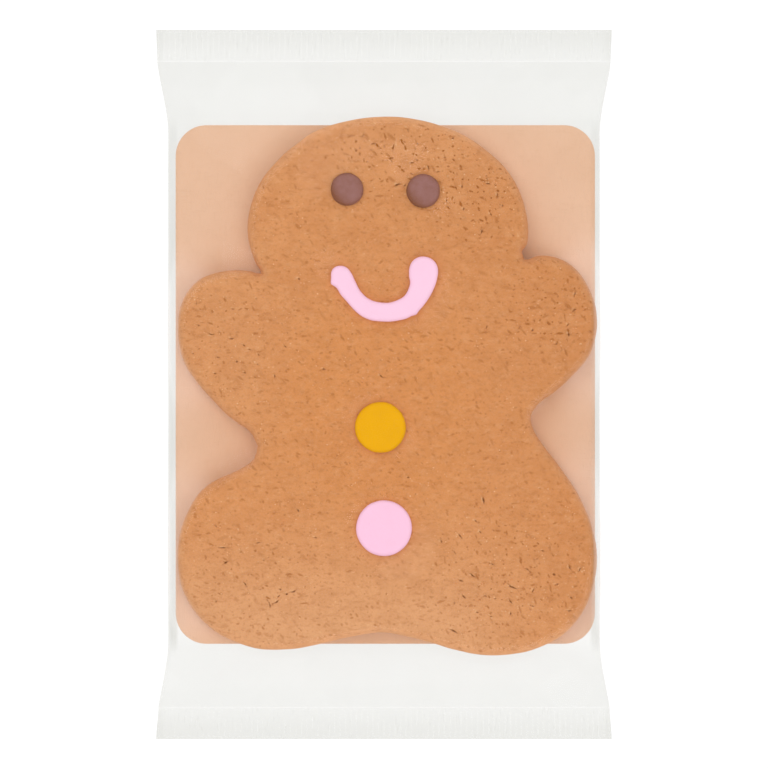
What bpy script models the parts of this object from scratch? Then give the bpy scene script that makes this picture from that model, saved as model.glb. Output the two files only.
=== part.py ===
"""A gingerbread man cookie lying on a card, sealed in a clear flow-wrapped pack.

The pack lies on its back: +Z is its front, +Y points to the cookie's head, and the origin is the
middle of the pack's footprint on the surface that it rests on. Blender 4.5, metres.
"""

import math

import bmesh
import bpy

MM = 0.001

# Clearance between neighbouring pieces, and the least wall of film round the contents
GAP = 0.3 * MM
FILM_WALL = 0.3 * MM

# Film pack: a tube of film, flattened and crimped across both ends
PACK_LENGTH = 161.2 * MM
SEAL_WIDTH = 103.6 * MM
BODY_WIDTH = 98.4 * MM
SEAL_LENGTH = 7.3 * MM
SEAL_THICKNESS = 0.6 * MM
SEAL_HEIGHT = 2.6 * MM
CROWN = 1.9 * MM
SHOULDER_ROOM = 0.2 * MM
SIDE_ROUNDING = 4.0 * MM
SIDE_SHARE = 0.6
BASE_ROUNDING = 1.0 * MM
BASE_SHARE = 0.2
FLARE_FROM = 58.0 * MM
FLARE_TO = 77.0 * MM
CROWN_FROM = 50.0 * MM
SLOPE_FROM = 57.0 * MM
LIFT_FROM = 61.0 * MM

# Seam along the back, where the film's two long edges meet: it opens into the pack
SEAM_LENGTH = 96.0 * MM
SEAM_OPENING = 0.6 * MM

# Card under the cookie
CARD_WIDTH = 95.4 * MM
CARD_LENGTH = 118.0 * MM
CARD_THICKNESS = 0.4 * MM
CARD_CORNER = 7.0 * MM
CARD_CENTRE_X = 0.3 * MM

# Cookie
COOKIE_THICKNESS = 7.4 * MM
TOP_ROUNDING = 3.4 * MM
FOOT_ROUNDING = 1.5 * MM
OUTLINE_STEP = 3.1 * MM
MITRE_LIMIT = 1.3

# Outline of the cookie, counter-clockwise. Each landmark is x and y in millimetres and the
# outline's heading there in degrees. A neck crease has a second heading, where it turns sharply.
COOKIE_OUTLINE = (
    (0.2, -56.5, -3),  # between the feet
    (24.5, -61.5, 0),  # right foot, lowest
    (40.1, -57.2, 35),
    (46.4, -49.0, 67),
    (48.3, -39.2, 90),  # right leg, widest
    (44.5, -25.7, 118),
    (35.5, -12.9, 126),
    (33.4, -7.5, 90),  # right waist
    (37.6, -2.6, 38),
    (44.2, 2.9, 48),
    (48.4, 15.2, 90),  # right arm, widest
    (42.7, 26.9, 140),
    (36.6, 29.3, 180),
    (32.2, 28.8, 195, 82),  # right neck crease
    (32.8, 34.4, 92),  # right cheek
    (28.0, 48.6, 127),
    (14.6, 58.2, 160),
    (1.1, 60.8, 180),  # top of the head
    (-14.5, 58.0, 202),
    (-26.5, 48.2, 232),
    (-31.0, 35.0, 270),  # left cheek
    (-28.4, 25.6, 292, 176),  # left neck crease
    (-36.1, 25.8, 190),
    (-43.0, 22.9, 222),
    (-46.9, 13.2, 270),  # left arm, widest
    (-44.4, 3.0, 300),
    (-36.5, -6.5, 316),
    (-28.9, -14.0, 275),  # left waist
    (-32.0, -18.8, 208),
    (-41.8, -24.5, 230),
    (-46.9, -39.5, 270),  # left leg, widest
    (-44.0, -50.0, 302),
    (-36.0, -57.4, 333),
    (-25.0, -60.3, 0),  # left foot, lowest
    (-10.3, -57.9, 14),
)

# Chocolate eyes and icing buttons, each as centre x, centre y and diameter
LEFT_EYE = (-8.4 * MM, 44.3 * MM, 7.4 * MM)
RIGHT_EYE = (8.9 * MM, 44.0 * MM, 7.6 * MM)
YELLOW_BUTTON = (-0.8 * MM, -9.7 * MM, 11.5 * MM)
PINK_BUTTON = (0.0 * MM, -32.5 * MM, 12.6 * MM)
EYE_HEIGHT = 1.6 * MM
EYE_EDGE = 0.35 * MM
DOME_ARC = math.radians(80)
BUTTON_HEIGHT = 1.2 * MM
BUTTON_ROUNDING = 0.8 * MM

# Mouth: one piped stroke of icing round a centre, as heading in degrees, then radius and width
# in millimetres
MOUTH_CENTRE = (0.1 * MM, 25.5 * MM)
MOUTH_HEIGHT = 1.4 * MM
MOUTH_EDGE_SHARE = 0.25
MOUTH_STROKE = (
    (183.5, 10.0, 4.3),
    (202.0, 9.1, 4.3),
    (236.0, 9.1, 4.1),
    (270.0, 9.0, 4.3),
    (304.0, 9.3, 4.7),
    (334.0, 9.2, 5.5),
    (362.5, 8.9, 6.5),
)

# Heights of the stack above the surface
CARD_BASE = FILM_WALL + GAP
COOKIE_BASE = CARD_BASE + CARD_THICKNESS + GAP
COOKIE_TOP = COOKIE_BASE + COOKIE_THICKNESS
DECOR_BASE = COOKIE_TOP + GAP
SHOULDER_HEIGHT = DECOR_BASE + FILM_WALL + SHOULDER_ROOM

# Fineness of the solids
ROUND_SEGMENTS = 32
ARC_STEPS = 4
FOOT_STEPS = 2
CARD_ARC_STEPS = 8
MOUTH_SECTION_STEPS = 8
MOUTH_STEPS_PER_SPAN = 4
MOUTH_END_STEPS = 3
SLOPE_STEPS = 8
BODY_STEPS = 8
CROWN_STEPS = 10


def clear_scene():
    for obj in list(bpy.data.objects):
        bpy.data.objects.remove(obj)


def smooth_step(value, start, end):
    """0 up to start, 1 from end on, and an S-curve in between."""
    part = min(max((value - start) / (end - start), 0.0), 1.0)
    return part * part * (3 - 2 * part)


def make_material(name, colour, roughness, alpha=1.0):
    material = bpy.data.materials.new(name)
    material.use_nodes = True
    shader = material.node_tree.nodes["Principled BSDF"]
    shader.inputs["Base Color"].default_value = (*colour, 1.0)
    shader.inputs["Roughness"].default_value = roughness
    shader.inputs["Metallic"].default_value = 0.0
    shader.inputs["Alpha"].default_value = alpha
    return material


def make_solid(name, rings, material=None):
    """A closed solid from rings of points: each is bridged to the next, and both ends are capped.

    Without a material it is a cutter, which isn't part of the object.
    """
    bm = bmesh.new()
    loops = [[bm.verts.new(point) for point in ring] for ring in rings]
    for near, far in zip(loops, loops[1:]):
        for i in range(len(near)):
            bm.faces.new((near[i - 1], near[i], far[i], far[i - 1]))
    bm.faces.new(loops[0])
    bm.faces.new(loops[-1])
    bmesh.ops.recalc_face_normals(bm, faces=bm.faces)
    mesh = bpy.data.meshes.new(name)
    bm.to_mesh(mesh)
    bm.free()
    mesh.shade_smooth()
    mesh.set_sharp_from_angle(angle=math.radians(40))
    obj = bpy.data.objects.new(name, mesh)
    bpy.context.scene.collection.objects.link(obj)
    if material:
        mesh.materials.append(material)
    else:
        obj.hide_render = True
        obj.display_type = "WIRE"
    return obj


def cut(target, cutter):
    """Takes the cutter's shape out of the target."""
    modifier = target.modifiers.new(cutter.name, "BOOLEAN")
    modifier.operation = "DIFFERENCE"
    modifier.solver = "EXACT"
    modifier.object = cutter


def arc_span(start, heading, end, end_heading, count):
    """Points of a cubic span that keeps to a round arc where its two headings allow one."""
    chord = math.dist(start, end)
    turn = math.radians((end_heading - heading + 180) % 360 - 180)
    reach = chord / (3 * math.cos(turn / 4) ** 2)
    leave, arrive = math.radians(heading), math.radians(end_heading)
    first = (start[0] + reach * math.cos(leave), start[1] + reach * math.sin(leave))
    second = (end[0] - reach * math.cos(arrive), end[1] - reach * math.sin(arrive))
    points = []
    for i in range(count):
        t = i / count
        s = 1 - t
        weights = (s**3, 3 * s * s * t, 3 * s * t * t, t**3)
        corners = (start, first, second, end)
        points.append([sum(w * c[axis] for w, c in zip(weights, corners)) for axis in (0, 1)])
    return points


def cookie_outline():
    """The cookie's outline at its widest, as points about OUTLINE_STEP apart."""
    outline = []
    landmarks = COOKIE_OUTLINE
    for here, following in zip(landmarks, landmarks[1:] + landmarks[:1]):
        start = (here[0] * MM, here[1] * MM)
        end = (following[0] * MM, following[1] * MM)
        count = max(1, round(math.dist(start, end) / OUTLINE_STEP))
        outline += arc_span(start, here[-1], end, following[2], count)
    return outline


def inset(outline, distance):
    """The counter-clockwise outline moved inwards by a distance, with short mitres."""
    moved = []
    for i, (x, y) in enumerate(outline):
        before, after = outline[i - 1], outline[(i + 1) % len(outline)]
        back = math.atan2(y - before[1], x - before[0])
        ahead = math.atan2(after[1] - y, after[0] - x)
        half_turn = ((ahead - back + math.pi) % (2 * math.pi) - math.pi) / 2
        inward = back + half_turn + math.pi / 2
        reach = distance * min(1 / math.cos(half_turn), MITRE_LIMIT)
        moved.append((x + reach * math.cos(inward), y + reach * math.sin(inward)))
    return moved


def cookie_rings(grow=0.0):
    """The cookie's outline from its flat foot, round both edges, to its flat top."""
    outline = cookie_outline()
    foot, top = FOOT_ROUNDING + grow, TOP_ROUNDING + grow
    low, high = COOKIE_BASE - grow, COOKIE_TOP + grow
    profile = []
    for i in range(FOOT_STEPS + 1):
        angle = math.pi / 2 * i / FOOT_STEPS
        profile.append((foot * (1 - math.sin(angle)), low + foot * (1 - math.cos(angle))))
    for i in range(ARC_STEPS + 1):
        angle = math.pi / 2 * i / ARC_STEPS
        profile.append((top * (1 - math.cos(angle)), high - top * (1 - math.sin(angle))))
    rings = []
    for inwards, height in profile:
        rings.append([(x, y, height) for x, y in inset(outline, inwards - grow)])
    return rings


def card_rings(grow=0.0):
    """A rectangle with round corners, lower and upper face."""
    corner = CARD_CORNER + grow
    reach_x, reach_y = CARD_WIDTH / 2 - CARD_CORNER, CARD_LENGTH / 2 - CARD_CORNER
    outline = []
    for quarter, (side_x, side_y) in enumerate(((1, 1), (-1, 1), (-1, -1), (1, -1))):
        for i in range(CARD_ARC_STEPS + 1):
            angle = math.pi / 2 * (quarter + i / CARD_ARC_STEPS)
            x = CARD_CENTRE_X + side_x * reach_x + corner * math.cos(angle)
            outline.append((x, side_y * reach_y + corner * math.sin(angle)))
    heights = (CARD_BASE - grow, CARD_BASE + CARD_THICKNESS + grow)
    return [[(x, y, height) for x, y in outline] for height in heights]


def round_rings(place, profile):
    """Circles round a place, one for each radius and height in the profile."""
    x, y, _ = place
    rings = []
    for radius, height in profile:
        turns = [2 * math.pi * i / ROUND_SEGMENTS for i in range(ROUND_SEGMENTS)]
        rings.append([(x + radius * math.cos(a), y + radius * math.sin(a), height) for a in turns])
    return rings


def button_rings(place, grow=0.0):
    """A flat disc of icing with a rounded upper edge."""
    radius, rounding = place[2] / 2 + grow, BUTTON_ROUNDING + grow
    top = DECOR_BASE + BUTTON_HEIGHT + grow
    profile = [(radius, DECOR_BASE - grow)]
    for i in range(ARC_STEPS + 1):
        angle = math.pi / 2 * i / ARC_STEPS
        edge = radius - rounding * (1 - math.cos(angle))
        profile.append((edge, top - rounding * (1 - math.sin(angle))))
    return round_rings(place, profile)


def eye_rings(place, grow=0.0):
    """A low dome of chocolate that stands on a short upright edge."""
    radius, dome = place[2] / 2 + grow, EYE_HEIGHT - EYE_EDGE + grow
    profile = [(radius, DECOR_BASE - grow)]
    for i in range(ARC_STEPS + 1):
        angle = DOME_ARC * i / ARC_STEPS
        profile.append((radius * math.cos(angle), DECOR_BASE + EYE_EDGE + dome * math.sin(angle)))
    return round_rings(place, profile)


def mouth_path():
    """Points and widths along the piped stroke, curved through the rows of MOUTH_STROKE."""
    rows = (MOUTH_STROKE[0],) + MOUTH_STROKE + (MOUTH_STROKE[-1],)
    path = []
    for span in range(len(MOUTH_STROKE) - 1):
        before, start, end, after = rows[span : span + 4]
        last = span == len(MOUTH_STROKE) - 2
        for i in range(MOUTH_STEPS_PER_SPAN + last):
            t = i / MOUTH_STEPS_PER_SPAN
            heading, radius, width = (
                q
                + 0.5 * t * (r - p + t * (2 * p - 5 * q + 4 * r - s + t * (3 * (q - r) + s - p)))
                for p, q, r, s in zip(before, start, end, after)
            )
            turn = math.radians(heading)
            x = MOUTH_CENTRE[0] + radius * MM * math.cos(turn)
            path.append((x, MOUTH_CENTRE[1] + radius * MM * math.sin(turn), width * MM))
    return path


def mouth_ring(x, y, heading, half_width, height, grow):
    """The stroke's section across its heading: a low arch on a flat base."""
    across = heading - math.pi / 2
    ring = []
    for i in range(MOUTH_SECTION_STEPS + 1):
        angle = math.pi * i / MOUTH_SECTION_STEPS
        side = half_width * math.cos(angle)
        rise = height * (MOUTH_EDGE_SHARE + (1 - MOUTH_EDGE_SHARE) * math.sin(angle))
        point = (x + side * math.cos(across), y + side * math.sin(across), DECOR_BASE + rise)
        ring.append(point)
    for side in (-half_width, half_width):
        point = (x + side * math.cos(across), y + side * math.sin(across), DECOR_BASE - grow)
        ring.append(point)
    return ring


def mouth_rings(grow=0.0):
    """Sections along the stroke, with its two ends rounded off in plan."""
    path = mouth_path()
    height = MOUTH_HEIGHT + grow
    headings = []
    for i in range(len(path)):
        before, after = path[max(i - 1, 0)], path[min(i + 1, len(path) - 1)]
        headings.append(math.atan2(after[1] - before[1], after[0] - before[0]))
    rings = []
    for end in (0, -1):
        x, y, width = path[end]
        radius = width / 2 + grow
        direction = -1 if end == 0 else 1
        cap = []
        for i in range(1, MOUTH_END_STEPS + 1):
            angle = DOME_ARC * i / MOUTH_END_STEPS
            along = direction * radius * math.sin(angle)
            cap_x = x + along * math.cos(headings[end])
            cap_y = y + along * math.sin(headings[end])
            half, rise = radius * math.cos(angle), height * math.cos(angle) ** 0.5
            cap.append(mouth_ring(cap_x, cap_y, headings[end], half, rise, grow))
        if end == 0:
            rings += reversed(cap)
            for (px, py, w), heading in zip(path, headings):
                rings.append(mouth_ring(px, py, heading, w / 2 + grow, height, grow))
        else:
            rings += cap
    return rings


def pack_section(y):
    """The pack's outer section at one place along its length: flat below and crowned above."""
    along = abs(y)
    seal_from = PACK_LENGTH / 2 - SEAL_LENGTH
    half_width = BODY_WIDTH / 2
    half_width += (SEAL_WIDTH - BODY_WIDTH) / 2 * smooth_step(along, FLARE_FROM, FLARE_TO)
    seal_low, seal_high = SEAL_HEIGHT - SEAL_THICKNESS / 2, SEAL_HEIGHT + SEAL_THICKNESS / 2
    low = seal_low * smooth_step(along, LIFT_FROM, seal_from)
    drop = smooth_step(along, SLOPE_FROM, seal_from)
    high = SHOULDER_HEIGHT + (seal_high - SHOULDER_HEIGHT) * drop
    crown = CROWN * (1 - smooth_step(along, CROWN_FROM, seal_from))
    lower = min(BASE_ROUNDING, BASE_SHARE * (high - low))
    upper = min(SIDE_ROUNDING, SIDE_SHARE * (high - low))
    right = []
    for i in range(ARC_STEPS + 1):
        angle = math.pi / 2 * i / ARC_STEPS
        x = half_width - lower * (1 - math.sin(angle))
        right.append((x, low + lower * (1 - math.cos(angle))))
    for i in range(ARC_STEPS + 1):
        angle = math.pi / 2 * i / ARC_STEPS
        x = half_width - upper * (1 - math.cos(angle))
        right.append((x, high - upper * (1 - math.sin(angle))))
    flat = half_width - upper
    top = []
    for i in range(1, CROWN_STEPS):
        across = 1 - 2 * i / CROWN_STEPS
        top.append((flat * across, high + crown * (1 - across * across)))
    left = [(-x, z) for x, z in reversed(right)]
    return [(x, y, z) for x, z in right + top + left]


def pack_rings():
    """Sections of the pack from one crimped end to the other."""
    end, seal_from = PACK_LENGTH / 2, PACK_LENGTH / 2 - SEAL_LENGTH
    half = [end]
    for i in range(SLOPE_STEPS):
        half.append(seal_from + (CROWN_FROM - seal_from) * i / SLOPE_STEPS)
    body = [CROWN_FROM * (1 - 2 * i / BODY_STEPS) for i in range(BODY_STEPS + 1)]
    stations = half + body + [-y for y in reversed(half)]
    return [pack_section(y) for y in reversed(stations)]


def seam_rings():
    """A narrow slot through the back film, from below it into the card's space."""
    x, y = SEAM_OPENING / 2, SEAM_LENGTH / 2
    outline = ((x, y), (-x, y), (-x, -y), (x, -y))
    heights = (-GAP, FILM_WALL + GAP / 2)
    return [[(px, py, height) for px, py in outline] for height in heights]


def build():
    clear_scene()
    film = make_material("clear_film", (0.93, 0.94, 0.94), 0.15, alpha=0.2)
    card = make_material("tan_card", (0.80, 0.50, 0.34), 0.9)
    dough = make_material("gingerbread", (0.66, 0.29, 0.115), 0.85)
    chocolate = make_material("chocolate", (0.33, 0.155, 0.135), 0.5)
    pink = make_material("pink_icing", (0.98, 0.62, 0.78), 0.6)
    yellow = make_material("yellow_icing", (0.90, 0.42, 0.004), 0.55)

    make_solid("card", card_rings(), card)
    make_solid("cookie", cookie_rings(), dough)
    make_solid("eye_left", eye_rings(LEFT_EYE), chocolate)
    make_solid("eye_right", eye_rings(RIGHT_EYE), chocolate)
    make_solid("mouth", mouth_rings(), pink)
    make_solid("button_yellow", button_rings(YELLOW_BUTTON), yellow)
    make_solid("button_pink", button_rings(PINK_BUTTON), pink)

    pack = make_solid("film_pack", pack_rings(), film)
    cut(pack, make_solid("space_card", card_rings(GAP)))
    cut(pack, make_solid("space_cookie", cookie_rings(GAP)))
    cut(pack, make_solid("space_eye_left", eye_rings(LEFT_EYE, GAP)))
    cut(pack, make_solid("space_eye_right", eye_rings(RIGHT_EYE, GAP)))
    cut(pack, make_solid("space_mouth", mouth_rings(GAP)))
    cut(pack, make_solid("space_button_yellow", button_rings(YELLOW_BUTTON, GAP)))
    cut(pack, make_solid("space_button_pink", button_rings(PINK_BUTTON, GAP)))
    cut(pack, make_solid("space_seam", seam_rings()))


build()
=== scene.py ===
"""Looks for a gingerbread man cookie on its card, sealed in a clear flow-wrapped pack.

Laid out as an add-on: settings, one operator for each piece or group of like pieces, one panel.
Everything is in metres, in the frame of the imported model: +Z is the pack's front and +Y points to
the cookie's head.
"""

import math

import bmesh
import bpy
import numpy as np
from bpy.props import FloatProperty, FloatVectorProperty, IntProperty, PointerProperty
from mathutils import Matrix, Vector, kdtree, noise
from mathutils.geometry import delaunay_2d_cdt


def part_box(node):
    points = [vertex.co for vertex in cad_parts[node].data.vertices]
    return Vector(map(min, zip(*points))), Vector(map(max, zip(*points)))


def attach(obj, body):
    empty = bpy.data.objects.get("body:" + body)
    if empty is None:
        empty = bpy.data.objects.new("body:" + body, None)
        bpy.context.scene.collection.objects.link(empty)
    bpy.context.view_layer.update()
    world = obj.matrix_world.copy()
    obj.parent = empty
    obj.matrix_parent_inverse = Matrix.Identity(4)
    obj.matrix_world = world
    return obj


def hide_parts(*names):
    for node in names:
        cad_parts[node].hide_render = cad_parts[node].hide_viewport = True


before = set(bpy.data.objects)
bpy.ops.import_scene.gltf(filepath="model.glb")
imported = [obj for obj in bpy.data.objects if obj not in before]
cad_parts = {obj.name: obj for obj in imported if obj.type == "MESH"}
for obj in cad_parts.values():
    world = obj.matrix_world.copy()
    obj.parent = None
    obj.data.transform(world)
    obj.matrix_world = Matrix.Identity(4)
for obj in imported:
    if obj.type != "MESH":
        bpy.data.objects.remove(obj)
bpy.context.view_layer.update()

bl_info = {
    "name": "Wrapped gingerbread man",
    "version": (1, 0, 0),
    "blender": (4, 5, 0),
    "location": "View3D > Sidebar > Gingerbread",
    "description": "A gingerbread man cookie on its card in a clear flow-wrapped pack",
    "category": "Add Mesh",
}

MM = 0.001

COOKIE_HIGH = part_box("cookie")[1]
CARD_LOW, CARD_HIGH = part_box("card")
PACK_LOW, PACK_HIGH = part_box("film_pack")
# Half the thickness of a fold at the bag's sides.
FOLD = 0.35 * MM
# The cookie stands this far off the card, whose face is slightly uneven.
CARD_GAP = 0.03 * MM
DECORATIONS = ("eye_left", "eye_right", "mouth", "button_yellow", "button_pink")

# Where the cookie's edge is pressed in a little: x, y, depth and reach in mm.
PRESSED_IN = (
    (-39.0, -4.0, 0.40, 6), (43.5, 2.0, 0.40, 4), (22.0, 54.3, 0.25, 5), (-20.0, 55.0, 0.30, 3),
    (47.3, 20.0, 0.20, 5), (0.0, -56.5, 0.20, 4), (-29.0, -14.0, 0.15, 4),
    (-28.2, 25.4, 0.50, 1.4), (32.4, 30.0, 1.00, 1.2),
)


# ---------------------------------------------------------------- settings


def length(label, text, value):
    """A size in metres that the user can change."""
    return FloatProperty(
        name=label, description=text, default=value, min=0, unit="LENGTH", precision=5
    )


def colour(label, text, value):
    """A linear colour that the user can change."""
    return FloatVectorProperty(
        name=label, description=text, default=value, subtype="COLOR", size=3, min=0, max=1
    )


def share(label, text, value):
    """A part of the whole, from 0 to 1."""
    return FloatProperty(
        name=label, description=text, default=value, min=0, max=1, subtype="FACTOR"
    )


class GingerCookieSettings(bpy.types.PropertyGroup):
    spacing: length("Surface spacing", "Distance between points of the baked top", 0.40 * MM)
    rim_step: length("Rim step", "Distance between points along the outline", 0.45 * MM)
    trim: length("Trim", "How far the baked edge stays inside the packed solid", 0.10 * MM)
    shoulder_width: length("Shoulder width", "How far the top's round edge reaches in", 2.3 * MM)
    shoulder_height: length("Shoulder height", "How far the round edge drops", 2.6 * MM)
    foot: length("Foot rounding", "Radius of the lower edge", 1.2 * MM)
    waves: length("Waves", "Height of the broad unevenness of the top", 0.16 * MM)
    bumps: length("Bumps", "Height of the small baked bumps", 0.05 * MM)
    crack_depth: length("Crack depth", "Depth of cracks and pits", 0.30 * MM)
    waver: length("Edge waver", "How far the outline wavers", 0.12 * MM)
    crust: colour("Crust", "Baked dough", (0.704, 0.295, 0.109))
    warm_crust: colour("Warm crust", "Fuller colour of the belly", (0.700, 0.276, 0.088))
    dark_crust: colour("Dark crust", "Browner patches", (0.648, 0.255, 0.088))
    pale_crust: colour("Pale crust", "Paler dough of the feet", (0.755, 0.380, 0.186))
    # The rim colour is painted light, not flour: a paler edge that stands in for the film's glare on
    # the slanting edge and for the light that the round edge loses.
    rim: colour("Rim", "Dough along the edge, dusted with flour", (0.870, 0.405, 0.185))
    side: colour("Side", "Paler dough of the side, under the round edge", (0.900, 0.560, 0.335))
    scorch: colour("Scorch", "Small baked dashes and dots", (0.385, 0.110, 0.016))
    # Painted shade: the dark colour laid into cracks and pits, darkest where they are cut deepest.
    painted_crack_shade: colour("Pits", "Inside of pits and cracks", (0.165, 0.042, 0.006))
    # This colour is also the painted highlight on the cracks' brinks.
    crumb_and_highlight: colour("Crumb", "Pale loose crumb", (0.860, 0.520, 0.285))
    seed: IntProperty(name="Seed", description="Changes every random place", default=7)


class GingerIcingSettings(bpy.types.PropertyGroup):
    sink: length("Sink", "How far icing reaches below the top of the crust", 0.40 * MM)
    spacing: length("Surface spacing", "Distance between points of the icing", 0.30 * MM)
    waver: length("Edge waver", "How far the icing's edge wavers", 0.10 * MM)
    pink: colour("Pink icing", "Lower button and the edge of the mouth", (0.990, 0.600, 0.790))
    mouth: colour("Mouth icing", "Mouth", (0.990, 0.645, 0.825))
    yellow: colour("Yellow icing", "Upper button", (0.870, 0.425, 0.000))
    # The chocolate colour also serves as painted shade round the eyes' edges and on their lower left.
    chocolate: colour("Chocolate", "Edge of the eyes", (0.230, 0.070, 0.038))
    bloom: colour("Bloom", "Pale dust on the top of the eyes", (0.322, 0.138, 0.132))


class GingerCardSettings(bpy.types.PropertyGroup):
    corner: length("Corner", "Radius of the card's corners", 7.0 * MM)
    board: colour("Board", "Tan board", (0.815, 0.522, 0.362))
    # This colour also gives the board's painted shade, darker from the middle downwards and towards
    # the right.
    fibre_and_shade: colour("Fibre", "Darker fibres in the board", (0.640, 0.360, 0.215))


class GingerFilmSettings(bpy.types.PropertyGroup):
    body_width: length("Body width", "Width of the pack between its folds", 98.4 * MM)
    seal_length: length("Seal length", "Length of each crimped end", 7.3 * MM)
    seal_height: length("Seal height", "How high the crimped ends stand", 2.6 * MM)
    clearance: length("Clearance", "Least space between the film and its contents", 0.12 * MM)
    spacing: length("Surface spacing", "Distance between points of the film", 1.0 * MM)
    rib_pitch: length("Rib pitch", "Distance between crimped ribs", 1.25 * MM)
    rib_depth: length("Rib depth", "Height of a rib above the seal's middle", 0.05 * MM)
    pleats: length("Pleats", "Height of the soft pleats beside the seals", 0.12 * MM)
    sag: FloatProperty(name="Sag", description="Curve of free film, per metre", default=7, min=0)
    haze: share("Haze", "How much light one sheet of the film holds back", 0.120)
    seal_haze: share("Seal haze", "The same for a face of a crimped end", 0.130)
    tint: colour("Film tint", "Colour of the film's haze", (0.14, 0.14, 0.05))
    # Film glare is the colour of a painted reflection of the white surroundings, where the film is
    # seen at a slant or passes over the cookie's edge.
    glare: colour("Film milk", "Colour of film that is seen at a slant", (0.68, 0.67, 0.62))


class GingerStageSettings(bpy.types.PropertyGroup):
    floor: colour("Floor", "Plain pale floor", (0.12, 0.12, 0.12))
    glow: FloatProperty(name="Glow", description="How much the floor shines itself", default=0.95)
    framed: length("Framed width", "Width of floor that the camera takes in", 174.85 * MM)
    lens: FloatProperty(name="Lens", description="Focal length, in millimetres", default=300)
    key: FloatProperty(name="Key", description="Power of the main softbox, in watts", default=5.4)
    fill: FloatProperty(name="Fill", description="Power of the other softbox", default=5.4)
    sky: FloatProperty(name="Sky", description="Strength of the white surroundings", default=0.82)


SETTINGS = {
    "ginger_cookie": GingerCookieSettings,
    "ginger_icing": GingerIcingSettings,
    "ginger_card": GingerCardSettings,
    "ginger_film": GingerFilmSettings,
    "ginger_stage": GingerStageSettings,
}


# ---------------------------------------------------------------- outlines


def widest_ring(node):
    """The counter-clockwise outline of a CAD node at the lowest level where it is widest."""
    bm = bmesh.new()
    bm.from_mesh(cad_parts[node].data)
    bmesh.ops.remove_doubles(bm, verts=bm.verts, dist=MM / 1000)
    levels = {}
    for vert in bm.verts:
        levels.setdefault(round(vert.co.z, 5), set()).add(vert)
    spans = {}
    for z, ring in levels.items():
        across = [vert.co.x for vert in ring]
        spans[z] = round(max(across) - min(across), 6)
    ring = levels[max(spans, key=lambda z: (spans[z], -z))]
    start = min(ring, key=lambda vert: vert.co.xy[:])
    outline, last, here, back = [start.co.xy], None, start, Vector((-1, 0))
    while True:
        around = [edge.other_vert(here) for edge in here.link_edges]
        around = [vert for vert in around if vert in ring and vert is not last]
        following = max(around, key=lambda vert: clockwise(back, vert.co.xy - here.co.xy))
        if following is start:
            break
        back = here.co.xy - following.co.xy
        last, here = here, following
        outline.append(here.co.xy)
    bm.free()
    return counter_clockwise(np.array(outline, float))


def clockwise(back, ahead):
    """The clockwise angle from one heading to another."""
    return (math.atan2(back.y, back.x) - math.atan2(ahead.y, ahead.x)) % (2 * math.pi)


def counter_clockwise(outline):
    """The outline, turned round if it runs clockwise."""
    x, y = outline.T
    area = (x * np.roll(y, -1) - np.roll(x, -1) * y).sum()
    return outline if area > 0 else outline[::-1]


def smooth_closed(outline, step, corner=math.radians(40)):
    """A closed outline resampled along a smooth curve through its points, with its corners kept."""
    chord = np.roll(outline, -1, axis=0) - outline
    reach = np.linalg.norm(chord, axis=1)
    ahead = chord / reach[:, None]
    behind = np.roll(ahead, 1, axis=0)
    before = np.roll(reach, 1)
    through = behind * reach[:, None] + ahead * before[:, None]
    through /= np.linalg.norm(through, axis=1)[:, None]
    sharp = (ahead * behind).sum(1) < math.cos(corner)
    leave = np.where(sharp[:, None], ahead, through)
    arrive = np.roll(np.where(sharp[:, None], behind, through), -1, axis=0)
    made = []
    for i, start in enumerate(outline):
        parts = max(1, round(reach[i] / step))
        for t in np.arange(parts) / parts:
            end = start + chord[i]
            bend = t * t * (3 - 2 * t)
            made.append(
                start * (1 - bend)
                + end * bend
                + reach[i] * (t * (1 - t) ** 2 * leave[i] - t * t * (1 - t) * arrive[i])
            )
    return np.array(made)


def resampled(outline, step):
    """Points a step apart along a closed outline."""
    closed = np.vstack([outline, outline[:1]])
    along = np.concatenate([[0], np.cumsum(np.linalg.norm(np.diff(closed, axis=0), axis=1))])
    places = np.linspace(0, along[-1], max(6, round(along[-1] / step)), endpoint=False)
    return np.stack([np.interp(places, along, closed[:, axis]) for axis in (0, 1)], 1)


def inset(outline, distance, limit=1.3):
    """The counter-clockwise outline moved inwards, with short mitres. The distance may be a list."""
    ahead = np.roll(outline, -1, axis=0) - outline
    back = np.roll(ahead, 1, axis=0)
    ahead = ahead / np.linalg.norm(ahead, axis=1)[:, None]
    back = back / np.linalg.norm(back, axis=1)[:, None]
    inward = np.stack([-(ahead + back)[:, 1], (ahead + back)[:, 0]], 1)
    inward /= np.linalg.norm(inward, axis=1)[:, None]
    half_turn = (inward * np.stack([-ahead[:, 1], ahead[:, 0]], 1)).sum(1)
    return outline + inward * (distance / np.maximum(half_turn, 1 / limit))[:, None]


def outline_distance(points, outline, chunk=2000):
    """Distance of each point from a closed outline, positive inside it."""
    step = np.roll(outline, -1, axis=0) - outline
    square = (step**2).sum(1)
    slope = step[:, 0] / np.where(step[:, 1] == 0, 1, step[:, 1])
    following = outline[:, 1] + step[:, 1]
    found = np.empty(len(points))
    for first in range(0, len(points), chunk):
        part = points[first : first + chunk]
        gap = part[:, None] - outline
        along = np.clip((gap * step).sum(2) / square, 0, 1)
        nearest = ((gap - along[..., None] * step) ** 2).sum(2).min(1)
        crossed = (outline[:, 1] > part[:, 1:]) != (following > part[:, 1:])
        right = outline[:, 0] + gap[..., 1] * slope > part[:, :1]
        inside = (crossed & right).sum(1) % 2 == 1
        found[first : first + chunk] = np.sqrt(nearest) * np.where(inside, 1, -1)
    return found


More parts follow.
